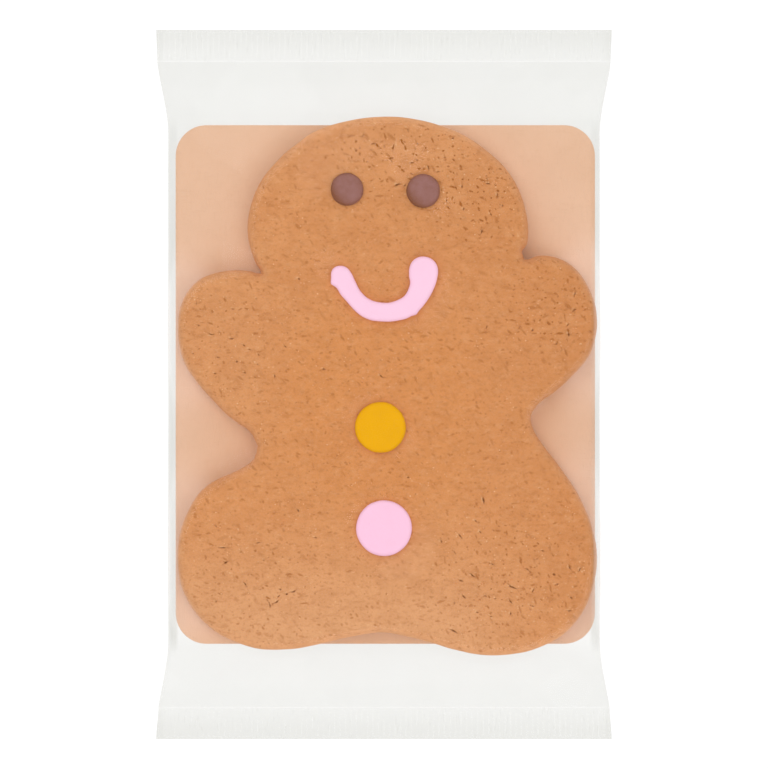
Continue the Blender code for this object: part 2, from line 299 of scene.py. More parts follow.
def rounded_rectangle(low, high, radius, steps=16):
    """The counter-clockwise outline of a rectangle with round corners."""
    middle = (Vector(low).xy + Vector(high).xy) / 2
    half = (Vector(high).xy - Vector(low).xy) / 2 - Vector((radius, radius))
    outline = []
    for quarter, (side, end) in enumerate(((1, 1), (-1, 1), (-1, -1), (1, -1))):
        for i in range(steps + 1):
            angle = math.pi / 2 * (quarter + i / steps)
            x = middle.x + side * half.x + radius * math.cos(angle)
            y = middle.y + end * half.y + radius * math.sin(angle)
            outline.append((x, y))
    return np.array(outline)


def smooth_step(value, start, end):
    """0 up to start, 1 from end on, and an S-curve in between."""
    part = np.clip((value - start) / (end - start), 0, 1)
    return part * part * (3 - 2 * part)


def smooth_noise(points, size, seed=0.0):
    """Noise from about -1 to 1 at each point of the plane, with features of about that size."""
    scaled = np.asarray(points)[:, :2] / size
    return np.array([noise.noise((x + seed, y - seed, seed)) for x, y in scaled])


def bulged(outline, bulges):
    """How far each point of an outline is moved by bulges, each x, y, how far and width in mm."""
    outward = np.zeros(len(outline))
    for x, y, reach, width in bulges:
        away = np.linalg.norm(outline - (x * MM, y * MM), axis=1)
        outward += reach * MM * np.exp(-((away / (width * MM)) ** 2))
    return outward


def cookie_outline():
    """The cookie's wavering outline, which the crust and the film follow."""
    made = bpy.context.scene.ginger_cookie
    outline = smooth_closed(widest_ring("cookie"), made.rim_step)
    waver = made.waver * smooth_noise(outline, 5 * MM, 3.7)
    return inset(outline, made.trim + waver + bulged(outline, PRESSED_IN))


# ---------------------------------------------------------------- meshes


def grid_points(low, high, spacing, rng):
    """A slightly uneven triangular grid of points over a rectangle."""
    rows = []
    for index, y in enumerate(np.arange(low[1], high[1], spacing * math.sqrt(3) / 2)):
        x = np.arange(low[0] + index % 2 * spacing / 2, high[0], spacing)
        rows.append(np.stack([x, np.full(len(x), y)], 1))
    points = np.concatenate(rows)
    return points + rng.normal(0, 0.08 * spacing, points.shape)


def near(points):
    """A search tree over points of the plane."""
    tree = kdtree.KDTree(len(points))
    for index, (x, y) in enumerate(points):
        tree.insert((x, y, 0), index)
    tree.balance()
    return tree


def thinned(points, keepers, distance):
    """The points that are further than a distance from every keeper."""
    tree = near(keepers)
    return np.array([(x, y) for x, y in points if tree.find((x, y, 0))[2] > distance])


def triangulated(outline, inner):
    """Points and upward triangles that fill a closed outline. The outline's points come first."""
    count = len(outline)
    places = [Vector(place) for place in np.concatenate([outline, inner]) / MM]
    loop = [(i, (i + 1) % count) for i in range(count)]
    made, _, faces, origins, _, _ = delaunay_2d_cdt(places, loop, [], 1, 1e-5)
    order = sorted(range(len(made)), key=lambda i: origins[i][0] if origins[i] else len(places))
    rank = {old: new for new, old in enumerate(order)}
    points = np.array([made[i] for i in order]) * MM
    return points, [tuple(rank[i] for i in face) for face in faces]


SIDE_ROWS = 5
FOOT_STEPS = 4


def quarter_round(steps):
    """Shares (inwards, down) along a quarter round, from its outer end to its top."""
    angle = np.linspace(0, math.pi / 2, steps + 1)
    return np.stack([1 - np.cos(angle), 1 - np.sin(angle)], 1)


def slab(
    outline, low, high, shoulder, foot, spacing, rng, relief, extra=None, swell=None, steps=8
):
    """A flat piece with a rounded upper edge, a side and a rounded lower edge.

    shoulder and foot are the (width, height) of the two edges. relief gives the height to add to
    points of the top, extra holds points that the top has to have, and swell gives how far the side
    stands out at a share of its height. Returns points, faces and each point's depth inside the
    outline, which is 0 on the side and below.
    """
    width, drop = shoulder
    rings = []
    for inward, _ in quarter_round(steps)[1:]:
        ring = resampled(inset(outline, width * inward), spacing)
        off = outline_distance(ring, outline) - width * inward
        rings.append(ring[np.abs(off) < 0.05 * MM])
    inner = grid_points(outline.min(0), outline.max(0), spacing, rng)
    inner = inner[outline_distance(inner, outline) > width + spacing / 2]
    inner = np.concatenate(rings + [inner])
    if extra is not None:
        inner = np.concatenate([thinned(inner, extra, spacing / 2), extra])
    top, faces = triangulated(outline, inner)
    depth = outline_distance(top, outline)
    depth[: len(outline)] = 0
    part = np.clip(1 - depth / width, 0, 1)
    height = high - drop * (1 - np.sqrt(1 - part**2)) + relief(top, depth)

    count = len(outline)
    levels = []
    for row in range(1, SIDE_ROWS + 1):
        down = row / SIDE_ROWS
        out = swell(outline, down) if swell else 0
        levels.append((inset(outline, -out), high - drop - (high - drop - low - foot[1]) * down))
    for inward, up in quarter_round(FOOT_STEPS)[1:]:
        levels.append((inset(outline, foot[0] * inward), low + foot[1] * up))
    points = [np.column_stack([top, height])]
    for ring, z in levels:
        points.append(np.column_stack([ring, np.full(count, z)]))
    starts = [0] + [len(top) + count * row for row in range(len(levels))]
    for above, below in zip(starts, starts[1:]):
        for i in range(count):
            j = (i + 1) % count
            faces.append((above + i, below + i, below + j, above + j))

    last = levels[-1][0]
    under = grid_points(last.min(0), last.max(0), 4 * spacing, rng)
    under = under[outline_distance(under, last) > 2 * spacing]
    base, base_faces = triangulated(last, under)
    points.append(np.column_stack([base[count:], np.full(len(base) - count, low)]))
    skip = starts[-1]
    for face in base_faces:
        faces.append(tuple(skip + i for i in reversed(face)))
    points = np.concatenate(points)
    depth = np.concatenate([depth, np.zeros(len(points) - len(top))])
    return points, faces, depth


def add_object(name, data):
    """A new object in the scene, at the origin."""
    obj = bpy.data.objects.new(name, data)
    bpy.context.scene.collection.objects.link(obj)
    return obj


def add_piece(name, points, faces, values=None, sharp=0):
    """A smooth-shaded mesh object from points and faces, with named values at its points."""
    mesh = bpy.data.meshes.new(name)
    mesh.from_pydata([tuple(p) for p in points], [], faces)
    mesh.validate()
    mesh.shade_smooth()
    if sharp:
        mesh.set_sharp_from_angle(angle=math.radians(sharp))
    for key, per_point in (values or {}).items():
        attribute = mesh.attributes.new(key, "FLOAT", "POINT")
        attribute.data.foreach_set("value", np.asarray(per_point, np.float32))
    return add_object(name, mesh)


def finish_piece(obj, slot, material, *nodes):
    """Gives a piece its material, lets it ride on the pack and stand for its CAD nodes."""
    obj.data.materials.clear()
    obj.data.materials.append(material)
    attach(obj, "root")
    if nodes:
        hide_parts(*nodes)
    return obj


# ---------------------------------------------------------------- node trees

SOCKET_TYPES = {
    float: "NodeSocketFloat", int: "NodeSocketInt", tuple: "NodeSocketVector",
    type(None): "NodeSocketGeometry",
}


class Value:
    """One output of a node. Sums with it add Math nodes to its tree."""

    def __init__(self, socket):
        self.socket = socket
        self.tree = socket.id_data

    def beside(self, output):
        """Another output of the same node."""
        return Value(self.socket.node.outputs[output])

    def math(self, operation, *others, clamp=False):
        """The output of a Math node whose first value is this one."""
        inputs = dict(enumerate((self, *others)))
        return add_node(
            self.tree, "ShaderNodeMath", 0, inputs, operation=operation, use_clamp=clamp
        )

    def ramp(self, start, end, low=0.0, high=1.0):
        """A smooth rise from low to high as the value goes from start to end."""
        inputs = {"Value": self, 1: start, 2: end, 3: low, 4: high}
        return add_node(
            self.tree, "ShaderNodeMapRange", 0, inputs, interpolation_type="SMOOTHSTEP"
        )

    def __add__(self, other):
        return self.math("ADD", other)

    def __mul__(self, other):
        return self.math("MULTIPLY", other)

    def __truediv__(self, other):
        return self.math("DIVIDE", other)

    def __rtruediv__(self, other):
        return add_node(self.tree, "ShaderNodeMath", 0, {0: other, 1: self}, operation="DIVIDE")

    def __pow__(self, other):
        return self.math("POWER", other)


def plug(socket, value):
    """Links a socket to a node's output, or sets its plain value."""
    if isinstance(value, Value):
        socket.id_data.links.new(value.socket, socket)
    elif socket.type == "RGBA" and len(value) == 3:
        socket.default_value = (*value, 1)
    else:
        socket.default_value = value


def add_node(tree, kind, output, inputs=None, **settings):
    """One output of a new node with these settings, and with inputs by name or by number."""
    node = tree.nodes.new(kind)
    for key, value in settings.items():
        setattr(node, key, value)
    for key, value in (inputs or {}).items():
        plug(node.inputs[key], value)
    return Value(node.outputs[output])


def vectors(operation, *values, output=0):
    """The output of a Vector Math node, whose first value is another node's output."""
    inputs = dict(enumerate(values))
    tree = values[0].tree
    return add_node(tree, "ShaderNodeVectorMath", output, inputs, operation=operation)


def parts_of(value, kind="XYZ"):
    """The three parts of a vector, or of a colour if the kind is Color."""
    first = add_node(value.tree, "ShaderNodeSeparate" + kind, 0, {0: value})
    return first, first.beside(1), first.beside(2)


def joined(tree, x, y, z):
    """A vector of three parts."""
    return add_node(tree, "ShaderNodeCombineXYZ", 0, {"X": x, "Y": y, "Z": z})


def object_place(tree):
    """A point's place in its piece's own coordinates, which are the pack's."""
    return add_node(tree, "ShaderNodeTexCoord", "Object")


def mixed(factor, first, second):
    """A colour between two others."""
    inputs = {0: factor, 6: first, 7: second}
    return add_node(factor.tree, "ShaderNodeMix", 2, inputs, data_type="RGBA")


def layered(tone, *layers):
    """A colour with others laid over it in turn, each given after the mask of where it shows."""
    for where, over in layers:
        tone = mixed(where, tone, over)
    return tone


def attribute_of(tree, name):
    """The value that a piece's points carry under that name."""
    return add_node(tree, "ShaderNodeAttribute", "Fac", attribute_name=name)


def new_group(name, kind, inputs, output, output_type):
    """A node group with named inputs and one output: its tree, its inputs and its output socket."""
    tree = bpy.data.node_groups.new(name, kind)
    new_socket = tree.interface.new_socket
    for label, value in inputs.items():
        socket = new_socket(label, in_out="INPUT", socket_type=SOCKET_TYPES[type(value)])
        if value is not None:
            socket.default_value = value
    new_socket(output, in_out="OUTPUT", socket_type=output_type)
    given = tree.nodes.new("NodeGroupInput").outputs
    made = tree.nodes.new("NodeGroupOutput").inputs[output]
    return tree, {label: Value(given[label]) for label in inputs}, made


def mottle_mask(tree, given):
    """Soft cloudy patches: mottled crust, sandy grain, the board's pulp."""
    wave = add_node(tree, "ShaderNodeTexNoise", "Fac", {
        "Vector": vectors("DIVIDE", object_place(tree), given["Stretch"]),
        "Scale": 1 / given["Size"],
        "Detail": given["Detail"],
        "Roughness": 0.6,
    })
    return wave.ramp(given["Low"], given["High"])


def specks_mask(tree, given):
    """Scattered small round specks: only some cells of a grid hold one."""
    cells = add_node(tree, "ShaderNodeTexVoronoi", "Color", {
        "Vector": vectors("DIVIDE", object_place(tree), given["Stretch"]),
        "Scale": 1 / given["Cell"],
    })
    chance, size, _ = parts_of(cells, "Color")
    reach = given["Radius"] * size + given["Radius"] * 0.4
    dot = cells.beside("Distance").ramp(reach, reach * 0.4)
    return dot * chance.math("LESS_THAN", given["Share"])


def dashes_mask(tree, given):
    """Short uneven dashes: some cells of a flat grid hold one, each turned its own way."""
    place = object_place(tree)
    bend = {"Vector": place, "Scale": 900.0, "Detail": 1.0}
    bend = vectors("SUBTRACT", add_node(tree, "ShaderNodeTexNoise", "Color", bend), (0.5, 0.5, 0.5))
    bent = vectors("MULTIPLY_ADD", bend, (0.7 * MM, 0.7 * MM, 0.0), place)
    cells = {"Vector": bent, "Scale": 1 / given["Cell"], "Randomness": 0.85}
    cells = add_node(tree, "ShaderNodeTexVoronoi", "Color", cells, voronoi_dimensions="2D")
    aside, chance, size = parts_of(cells, "Color")
    turned = add_node(tree, "ShaderNodeVectorRotate", 0, {
        "Vector": vectors("SUBTRACT", bent, cells.beside("Position")),
        "Angle": (aside * 2.0 + -1.0) * given["Spread"] + given["Heading"],
    }, rotation_type="Z_AXIS", invert=True)
    x, y, _ = parts_of(turned)
    along = x / (given["Length"] * (size * 1.2 + 0.4))
    across = y / given["Width"]
    dash = (along * along + across * across).ramp(1.0, 0.0) ** 1.6
    strength = (aside * 7.3).math("FRACT") * 0.75 + 0.25
    return dash * chance.math("LESS_THAN", given["Share"]) * strength


MASKS = {
    "Mottle": (mottle_mask, {
        "Size": 0.01, "Detail": 2.0, "Low": 0.35, "High": 0.65, "Stretch": (1.0, 1.0, 1.0),
    }),
    "Specks": (specks_mask, {
        "Cell": 0.002, "Radius": 0.25, "Share": 0.3, "Stretch": (1.0, 1.0, 1.0),
    }),
    "Dashes": (dashes_mask, {
        "Cell": 0.002, "Length": 0.0006, "Width": 0.0002, "Share": 0.5, "Heading": 0.0,
        "Spread": 1.0,
    }),
}


def mask(tree, name, **inputs):
    """The output of a shared mask group, which is made the first time that it is asked for."""
    if name not in bpy.data.node_groups:
        build, defaults = MASKS[name]
        group, given, made = new_group(name, "ShaderNodeTree", defaults, "Mask", "NodeSocketFloat")
        plug(made, build(group, given))
    return add_node(tree, "ShaderNodeGroup", 0, inputs, node_tree=bpy.data.node_groups[name])


def mottle(tree, size, low=0.35, high=0.65, detail=2.0, stretch=(1, 1, 1)):
    """Cloudy patches of about that size, 0 where the noise is under low and 1 over high."""
    return mask(tree, "Mottle", Size=size, Detail=detail, Low=low, High=high, Stretch=stretch)


def specks(tree, cell, radius, share_held, stretch=(1, 1, 1)):
    """Round specks in that share of the cells, with a radius in cells."""
    return mask(tree, "Specks", Cell=cell, Radius=radius, Share=share_held, Stretch=stretch)


def dashes(tree, cell, reach, width, share_held, heading=-30.0, spread=55.0):
    """Dashes in that share of the cells, turned about a heading in degrees."""
    return mask(
        tree, "Dashes", Cell=cell, Length=reach, Width=width, Share=share_held,
        Heading=math.radians(heading), Spread=math.radians(spread),
    )


def bumped(height, distance, strength=1.0):
    """The normal of a surface whose relief is a height times a distance in metres."""
    inputs = {"Height": height, "Distance": distance, "Strength": strength}
    return add_node(height.tree, "ShaderNodeBump", "Normal", inputs)


def new_material(name):
    """A material with only its Principled shader, its tree and that shader."""
    material = bpy.data.materials.new(name)
    material.use_nodes = True
    tree = material.node_tree
    return material, tree, tree.nodes["Principled BSDF"]


def put_on(shader, **inputs):
    """Sets a Principled shader's inputs; spaces in their names are written as underscores."""
    for key, value in inputs.items():
        plug(shader.inputs[key.replace("_", " ")], value)


# ---------------------------------------------------------------- crust

# A crack's start (x, y), its heading in degrees and its length, in mm.
HEAD_CRACKS = (
    (-3.1, 54.4, 4, 2.2), (2.3, 54.5, -92, 2.6), (1.3, 51.2, -45, 1.2), (5.6, 50.1, 0, 1.8),
    (9.2, 49.9, -50, 2.3), (10.7, 48.1, 10, 1.8), (1.6, 44.6, 5, 3.4), (17.5, 46.0, -45, 1.7),
    (13.9, 42.3, -28, 1.7), (22.2, 45.9, -56, 2.2), (25.5, 43.6, -72, 1.6), (23.9, 39.5, -72, 1.9),
    (22.3, 35.5, -90, 2.0), (15.0, 55.3, 10, 1.2), (6.9, 55.2, -20, 1.2), (13.3, 51.5, -10, 1.1),
    (5.8, 50.1, 0, 1.8), (17.8, 40.4, -30, 1.2), (4.1, 44.5, 30, 1.4), (26.8, 41.0, -70, 0.9),
)
ARM_CRACKS = (
    (41.5, 12.9, -90, 2.3), (40.6, 12.9, 0, 1.8), (41.7, 15.8, 37, 2.1), (42.5, 19.7, 3, 2.1),
    (23.3, 13.5, -90, 2.0), (38.0, 9.2, -15, 1.3), (33.0, 11.9, 20, 1.2),
    (-42.8, 13.7, -15, 1.2), (-40.8, 12.1, -7, 2.4), (-34.7, 17.2, -20, 0.9),
    (-35.7, 10.7, -15, 2.0), (-32.6, 9.3, -4, 1.6), (-31.2, 8.1, -45, 1.5), (-33.5, 5.9, -55, 1.0),
    (-28.8, 7.4, -55, 1.1), (-38.7, 2.5, -5, 1.2), (-32.4, 2.8, -32, 1.3), (-25.0, 2.4, -36, 1.4),
    (-23.4, 9.9, -30, 2.1), (-38.7, 6.5, 0, 1.7), (-15.0, 3.4, -24, 2.0), (-19.7, 24.2, -30, 1.1),
)
BODY_CRACKS = (
    (-1.1, 2.5, -90, 2.5), (-20.3, -27.4, -45, 1.7), (4.7, -21.0, -10, 1.1), (22.3, -24.2, -88, 3.0),
)
LEFT_LEG_CRACKS = (
    (-37.8, -36.9, 9, 4.5), (-28.9, -35.9, 3, 1.7), (-16.1, -34.6, 15, 1.3), (-32.1, -44.5, -18, 2.8),
    (-22.4, -47.8, 41, 1.1), (-21.6, -47.1, 0, 3.4), (-27.6, -48.7, -2, 3.1), (-24.5, -48.8, 47, 1.6),
    (-26.5, -49.6, -7, 3.1), (-36.9, -41.0, 8, 2.3), (-24.3, -46.1, 0, 1.2), (-38.3, -49.3, 20, 1.0),
)
RIGHT_LEG_CRACKS = (
    (15.8, -33.0, -31, 2.7), (12.4, -34.4, -28, 1.7), (21.5, -33.0, -40, 1.6),
    (20.2, -30.3, -40, 1.6), (24.0, -40.3, -31, 1.7), (31.0, -40.4, -88, 3.2),
    (18.9, -42.5, -20, 2.9), (27.0, -44.6, -28, 4.9), (33.9, -44.8, -47, 2.3),
    (41.6, -40.9, -35, 2.6), (43.7, -42.4, 27, 2.0), (41.7, -47.7, -56, 2.2),
    (41.2, -51.2, -8, 2.1), (16.5, -46.2, -34, 2.9), (21.5, -48.4, -24, 2.0),
    (28.0, -48.2, -58, 2.2), (14.2, -55.2, -10, 3.9), (38.4, -45.3, -20, 1.2),
    (15.3, -37.4, -45, 1.3), (16.2, -43.7, -55, 1.7), (23.5, -52.2, -35, 1.0),
    (20.6, -51.3, -38, 1.1), (28.5, -51.3, -60, 1.4), (32.8, -49.5, -45, 1.3),
    (37.8, -42.5, -48, 1.3), (35.5, -37.4, -52, 1.2),
)
MAIN_CRACKS = HEAD_CRACKS + ARM_CRACKS + BODY_CRACKS + LEFT_LEG_CRACKS + RIGHT_LEG_CRACKS
PITS = (
    (13.9, 56.6), (9.9, 39.4), (24.8, 48.1), (23.2, 47.2), (41.4, 7.7), (40.2, 8.3),
    (-27.2, -39.8), (-21.3, -39.7), (-34.5, -34.7), (15.8, -37.8), (41.8, -35.5), (25.1, -48.5),
    (-36.0, 14.5), (-28.6, 4.6), (-32.6, -0.6), (-35.2, -2.5), (-29.2, 1.6), (-23.1, 13.8),
    (-28.9, 19.4), (-29.6, 13.9), (-43.2, 7.0), (-25.9, -4.6), (-35.1, -55.7), (-31.9, -55.7),
    (33.2, -49.9), (38.8, -45.4), (27.8, -28.0), (-2.0, 54.5),
)
# Where small cracks crowd: centre (x, y), reach (x, y) in mm, their number, main heading, strength.
CRACKED_PLACES = (
    (3, 52, 17, 7, 16, -20, 1.35), (21, 43, 9, 10, 16, -65, 1.45), (-20, 46, 9, 10, 6, 30, 0.25),
    (38, 15, 9, 9, 13, 20, 1.15), (-37, 15, 9, 8, 10, -20, 0.62), (-28, -44, 14, 13, 26, 0, 0.66),
    (28, -43, 17, 15, 34, -32, 0.82), (0, -4, 16, 22, 7, -60, 0.30),
)


# In mm: the step between a crack's points, a small crack's length and half the width of the pits.
CRACK_STEP = 0.25
SMALL_CRACK_LENGTH = (0.8, 2.3)
PIT_HALF_WIDTH = (0.22, 0.34)
# How dark small cracks and pits are, where 1 is the darkest. It sets how deep they are cut and how
# much painted shade they get.
SMALL_CRACK_DARKNESS = (0.30, 0.6)
PIT_DARKNESS = (0.4, 0.8)
# Cracks stay this far inside the outline.
CRACK_FREE_EDGE = 1.5 * MM
# How cracked the crust is away from the cracked places.
PLAIN_CRACKLE = 0.31
# From a deep crack to its brink, up and to the left of it, where a highlight is painted.
TO_LIT_BRINK = (-0.30 * MM, 0.26 * MM)


def crack_points(rng):
    """Points along every crack, a quarter of a millimetre apart: (x, y, half width, darkness)."""
    cracks = [(*crack, 1.0) for crack in MAIN_CRACKS]
    for x, y, reach_x, reach_y, count, heading, _ in CRACKED_PLACES:
        for _ in range(count):
            place = rng.uniform(-1, 1, 2) * (reach_x, reach_y) + (x, y)
            reach = rng.uniform(*SMALL_CRACK_LENGTH)
            turned = rng.normal(heading, 28)
            cracks.append((*place, turned, reach, rng.uniform(*SMALL_CRACK_DARKNESS)))
    rows = []
    for x, y, heading, reach, dark in cracks:
        count = max(3, round(reach / CRACK_STEP))
        turn = math.radians(heading) + np.cumsum(rng.normal(0, 0.22, count))
        steps = np.stack([np.cos(turn), np.sin(turn)], 1) * reach / count
        places = np.cumsum(steps, axis=0) + (x, y)
        along = np.linspace(0, 1, count)
        taper = np.sin(np.pi * (0.1 + 0.8 * along)) ** 0.6
        half_width = 0.12 + 0.13 * taper * rng.uniform(0.5, 1.6, count)
        deepest = np.exp(-(((along - rng.uniform(0.1, 0.9)) / 0.22) ** 2))
        darkness = dark * (0.26 + 0.74 * deepest) * rng.uniform(0.85, 1.15, count)
        rows.append(np.column_stack([places * MM, half_width * MM, darkness]))
    for x, y in PITS:
        half_width = rng.uniform(*PIT_HALF_WIDTH) * MM
        rows.append([(x * MM, y * MM, half_width, rng.uniform(*PIT_DARKNESS))])
    return np.concatenate(rows)


def crack_mesh_points(cracks):
    """Points that the top needs round each crack point, on a small six-sided ring at its brink."""
    angle = np.arange(6) * math.pi / 3
    spokes = np.stack([np.cos(angle), np.sin(angle)], 1)
    brink = cracks[:, None, :2] + cracks[:, None, 2:3] * spokes
    return np.concatenate([cracks[:, :2], brink.reshape(-1, 2)])


def well_apart(points, distance):
    """Points with those dropped that crowd an earlier one."""
    tree = near(points)
    kept = np.ones(len(points), bool)
    for index, (x, y) in enumerate(points):
        if kept[index]:
            for _, other, _ in tree.find_range((x, y, 0), distance):
                if other > index:
                    kept[other] = False
    return points[kept]


def gap_at(points, cracks):
    """How deep in a crack each point is, from 0 to 1, and how far it is from the nearest one."""
    tree = near(cracks[:, :2])
    found = [tree.find((x, y, 0)) for x, y in points[:, :2]]
    away = np.array([hit[2] for hit in found])
    half_width, darkness = cracks[[hit[1] for hit in found], 2:].T
    return darkness * np.clip(1 - (away / half_width) ** 2, 0, 1), away


def brink_highlight_at(points, cracks):
    """How much each point gets the painted highlight on the brink up and to the left of a deep crack,
    0 to 1.
    """
    gap, _ = gap_at(points, cracks)
    beside, _ = gap_at(points[:, :2] - TO_LIT_BRINK, cracks)
    return smooth_step(beside, 0.30, 0.85) * (1 - smooth_step(gap, 0.0, 0.3))


def crackle_at(points):
    """How cracked the crust is round each point, about 0 to 1."""
    found = np.full(len(points), PLAIN_CRACKLE)
    for x, y, reach_x, reach_y, _, _, strength in CRACKED_PLACES:
        aside = (points[:, 0] / MM - x) / reach_x
        up = (points[:, 1] / MM - y) / reach_y
        found = np.maximum(found, strength * np.exp(-0.6 * (aside**2 + up**2)))
    return found


# The fuller colour is deepest here, in the middle of the belly.
BELLY = (0, -4 * MM, 8 * MM)
# Scorched dashes, as cell, length and width in mm, the share of cells that hold one, and strength.
SCORCHED_DASHES = (
    (3.4, 0.95, 0.40, 0.70, 0.85), (2.3, 0.55, 0.36, 0.60, 0.90), (1.4, 0.30, 0.28, 0.45, 0.85),
    (5.0, 1.50, 0.60, 0.70, 0.50),
)


def make_crust_material():
    """Baked dough: broad patches of colour, a scorched grain over them, and cracks on top."""
    made = bpy.context.scene.ginger_cookie
    material, tree, shader = new_material("baked_crust")
    place = object_place(tree)
    x, y, z = parts_of(place)
    belly = vectors("DISTANCE", place, BELLY, output="Value").ramp(14 * MM, 34 * MM, 0.85, 0.0)
    right = x.ramp(5 * MM, 40 * MM, 0.0, 0.56) + x.ramp(38 * MM, 46 * MM, 0.0, 0.50)
    feet = y.ramp(-24 * MM, -60 * MM, 0.0, 0.90) * x.ramp(8 * MM, 44 * MM, 1.0, 0.15)
    hand = x.ramp(-16 * MM, -40 * MM, 0.0, 0.22) * y.ramp(-22 * MM, -5 * MM)
    edge = attribute_of(tree, "rim")
    # How strong the painted glare along the edge is: most at the head's top and at the feet.
    painted_edge_glare = y.math("ABSOLUTE").ramp(50 * MM, 58 * MM, 0.24, 0.92)

    rough = (attribute_of(tree, "crackle") * 0.75 + 0.45) * edge.ramp(1.0, 0.86)
    flecks = mottle(tree, 1.5 * MM, 0.45, 0.72, 3.0, (1.3, 0.8, 1.0))
    chips = specks(tree, 1.0 * MM, 0.26, 0.30, (1.2, 0.8, 1.0))
    clouds = mottle(tree, 3.2 * MM, 0.35, 0.70, 2.0, (1.2, 0.9, 1.0))
    smudges = mottle(tree, 1.0 * MM, 0.50, 0.76, 3.0, (1.5, 0.8, 1.0))
    grain = mottle(tree, 0.55 * MM, 0.45, 0.78)
    scorched = grain * 0.22 + smudges * 0.30
    for cell, reach, width, share_held, strength in SCORCHED_DASHES:
        drawn = dashes(tree, cell * MM, reach * MM, width * MM, share_held) * strength
        scorched = scorched.math("MAXIMUM", drawn * rough)

    tone = layered(
        made.crust,
        (mottle(tree, 9 * MM, 0.36, 0.68) * 0.6, made.dark_crust),
        (belly, made.warm_crust),
        (right, made.dark_crust),
        (feet, made.pale_crust),
        (y.ramp(36 * MM, 57 * MM, 0.0, 0.20), made.pale_crust),
        (hand, made.pale_crust),
        # Painted glare along the edge, strongest at the head's top and the feet.
        (edge * painted_edge_glare, made.rim),
        (z.ramp(6.0 * MM, 4.6 * MM, 0.0, 0.9), made.side),
        (flecks * 0.35, made.pale_crust),
        (chips * rough * 0.45, made.crumb_and_highlight),
        (clouds * 0.14, made.scorch),
        (scorched, made.scorch),
        # Painted shade in the cracks and pits.
        (attribute_of(tree, "gap").ramp(0.02, 1.00, 0.0, 0.90), made.painted_crack_shade),
        # Painted highlight on the brink up and to the left of each deep crack.
        (attribute_of(tree, "brink") * 0.55, made.crumb_and_highlight),
    )
    relief = scorched * -2.0 + flecks + grain * 0.5
    put_on(
        shader, Base_Color=tone, Roughness=flecks.ramp(0, 1, 0.70, 0.85),
        Specular_IOR_Level=0.2, Normal=bumped(relief, 0.05 * MM, 0.9),
    )
    return material


class GINGER_OT_cookie(bpy.types.Operator):
    """Bakes the cookie: a rounded slab with an uneven, cracked and pitted top"""

    bl_idname = "ginger.cookie"
    bl_label = "Cookie"

    def execute(self, context):
        made = context.scene.ginger_cookie
        rng = np.random.default_rng(made.seed)
        outline = cookie_outline()
        cracks = crack_points(rng)
        cracks = cracks[outline_distance(cracks[:, :2], outline) > CRACK_FREE_EDGE]

        def relief(points, depth):
            gap, away = gap_at(points, cracks)
            lips = np.exp(-(((away - 0.55 * MM) / (0.3 * MM)) ** 2))
            broad = made.waves * smooth_noise(points, 18 * MM, 1.3)
            middle = 0.45 * made.waves * smooth_noise(points, 7 * MM, 4.1)
            small = made.bumps * smooth_noise(points, 2.2 * MM, 8.7)
            fine = 0.6 * made.bumps * smooth_noise(points, 0.9 * MM, 2.9)
            uneven = (broad + middle) * smooth_step(depth, 0, 3 * MM) + small + fine
            return uneven + 0.04 * MM * lips - made.crack_depth * gap

        def swell(ring, down):
            rough = smooth_noise(ring, 2.5 * MM, 5 + 4 * down)
            return 0.06 * MM * math.sin(math.pi * down) + 0.06 * MM * rough

        extra = well_apart(crack_mesh_points(cracks), 0.07 * MM)
        points, faces, depth = slab(
            outline, CARD_HIGH.z + CARD_GAP, COOKIE_HIGH.z,
            (made.shoulder_width, made.shoulder_height),
            (made.foot, made.foot), made.spacing, rng, relief, extra, swell,
        )
        gap, away = gap_at(points, cracks)
        top = points[:, 2] > COOKIE_HIGH.z - made.shoulder_height
        values = {
            "rim": 1 - smooth_step(depth, 0.2 * MM, 2.2 * MM),
            "gap": gap * top,
            "brink": brink_highlight_at(points, cracks) * top,
            "crackle": crackle_at(points),
            "crumbly": top * (depth > MM) * np.exp(-away / (1.6 * MM)),
        }
        cookie = add_piece("baked_cookie", points, faces, values)
        finish_piece(cookie, "gingerbread", make_crust_material(), "cookie")
        return {"FINISHED"}


# ---------------------------------------------------------------- crumbs


def end_tree(tree, made, geometry, material):
    """Ends a Geometry Nodes tree with real mesh that has its material."""
    real = add_node(tree, "GeometryNodeRealizeInstances", 0, {"Geometry": geometry})
    inputs = {"Geometry": real, "Material": material}
    plug(made, add_node(tree, "GeometryNodeSetMaterial", 0, inputs))


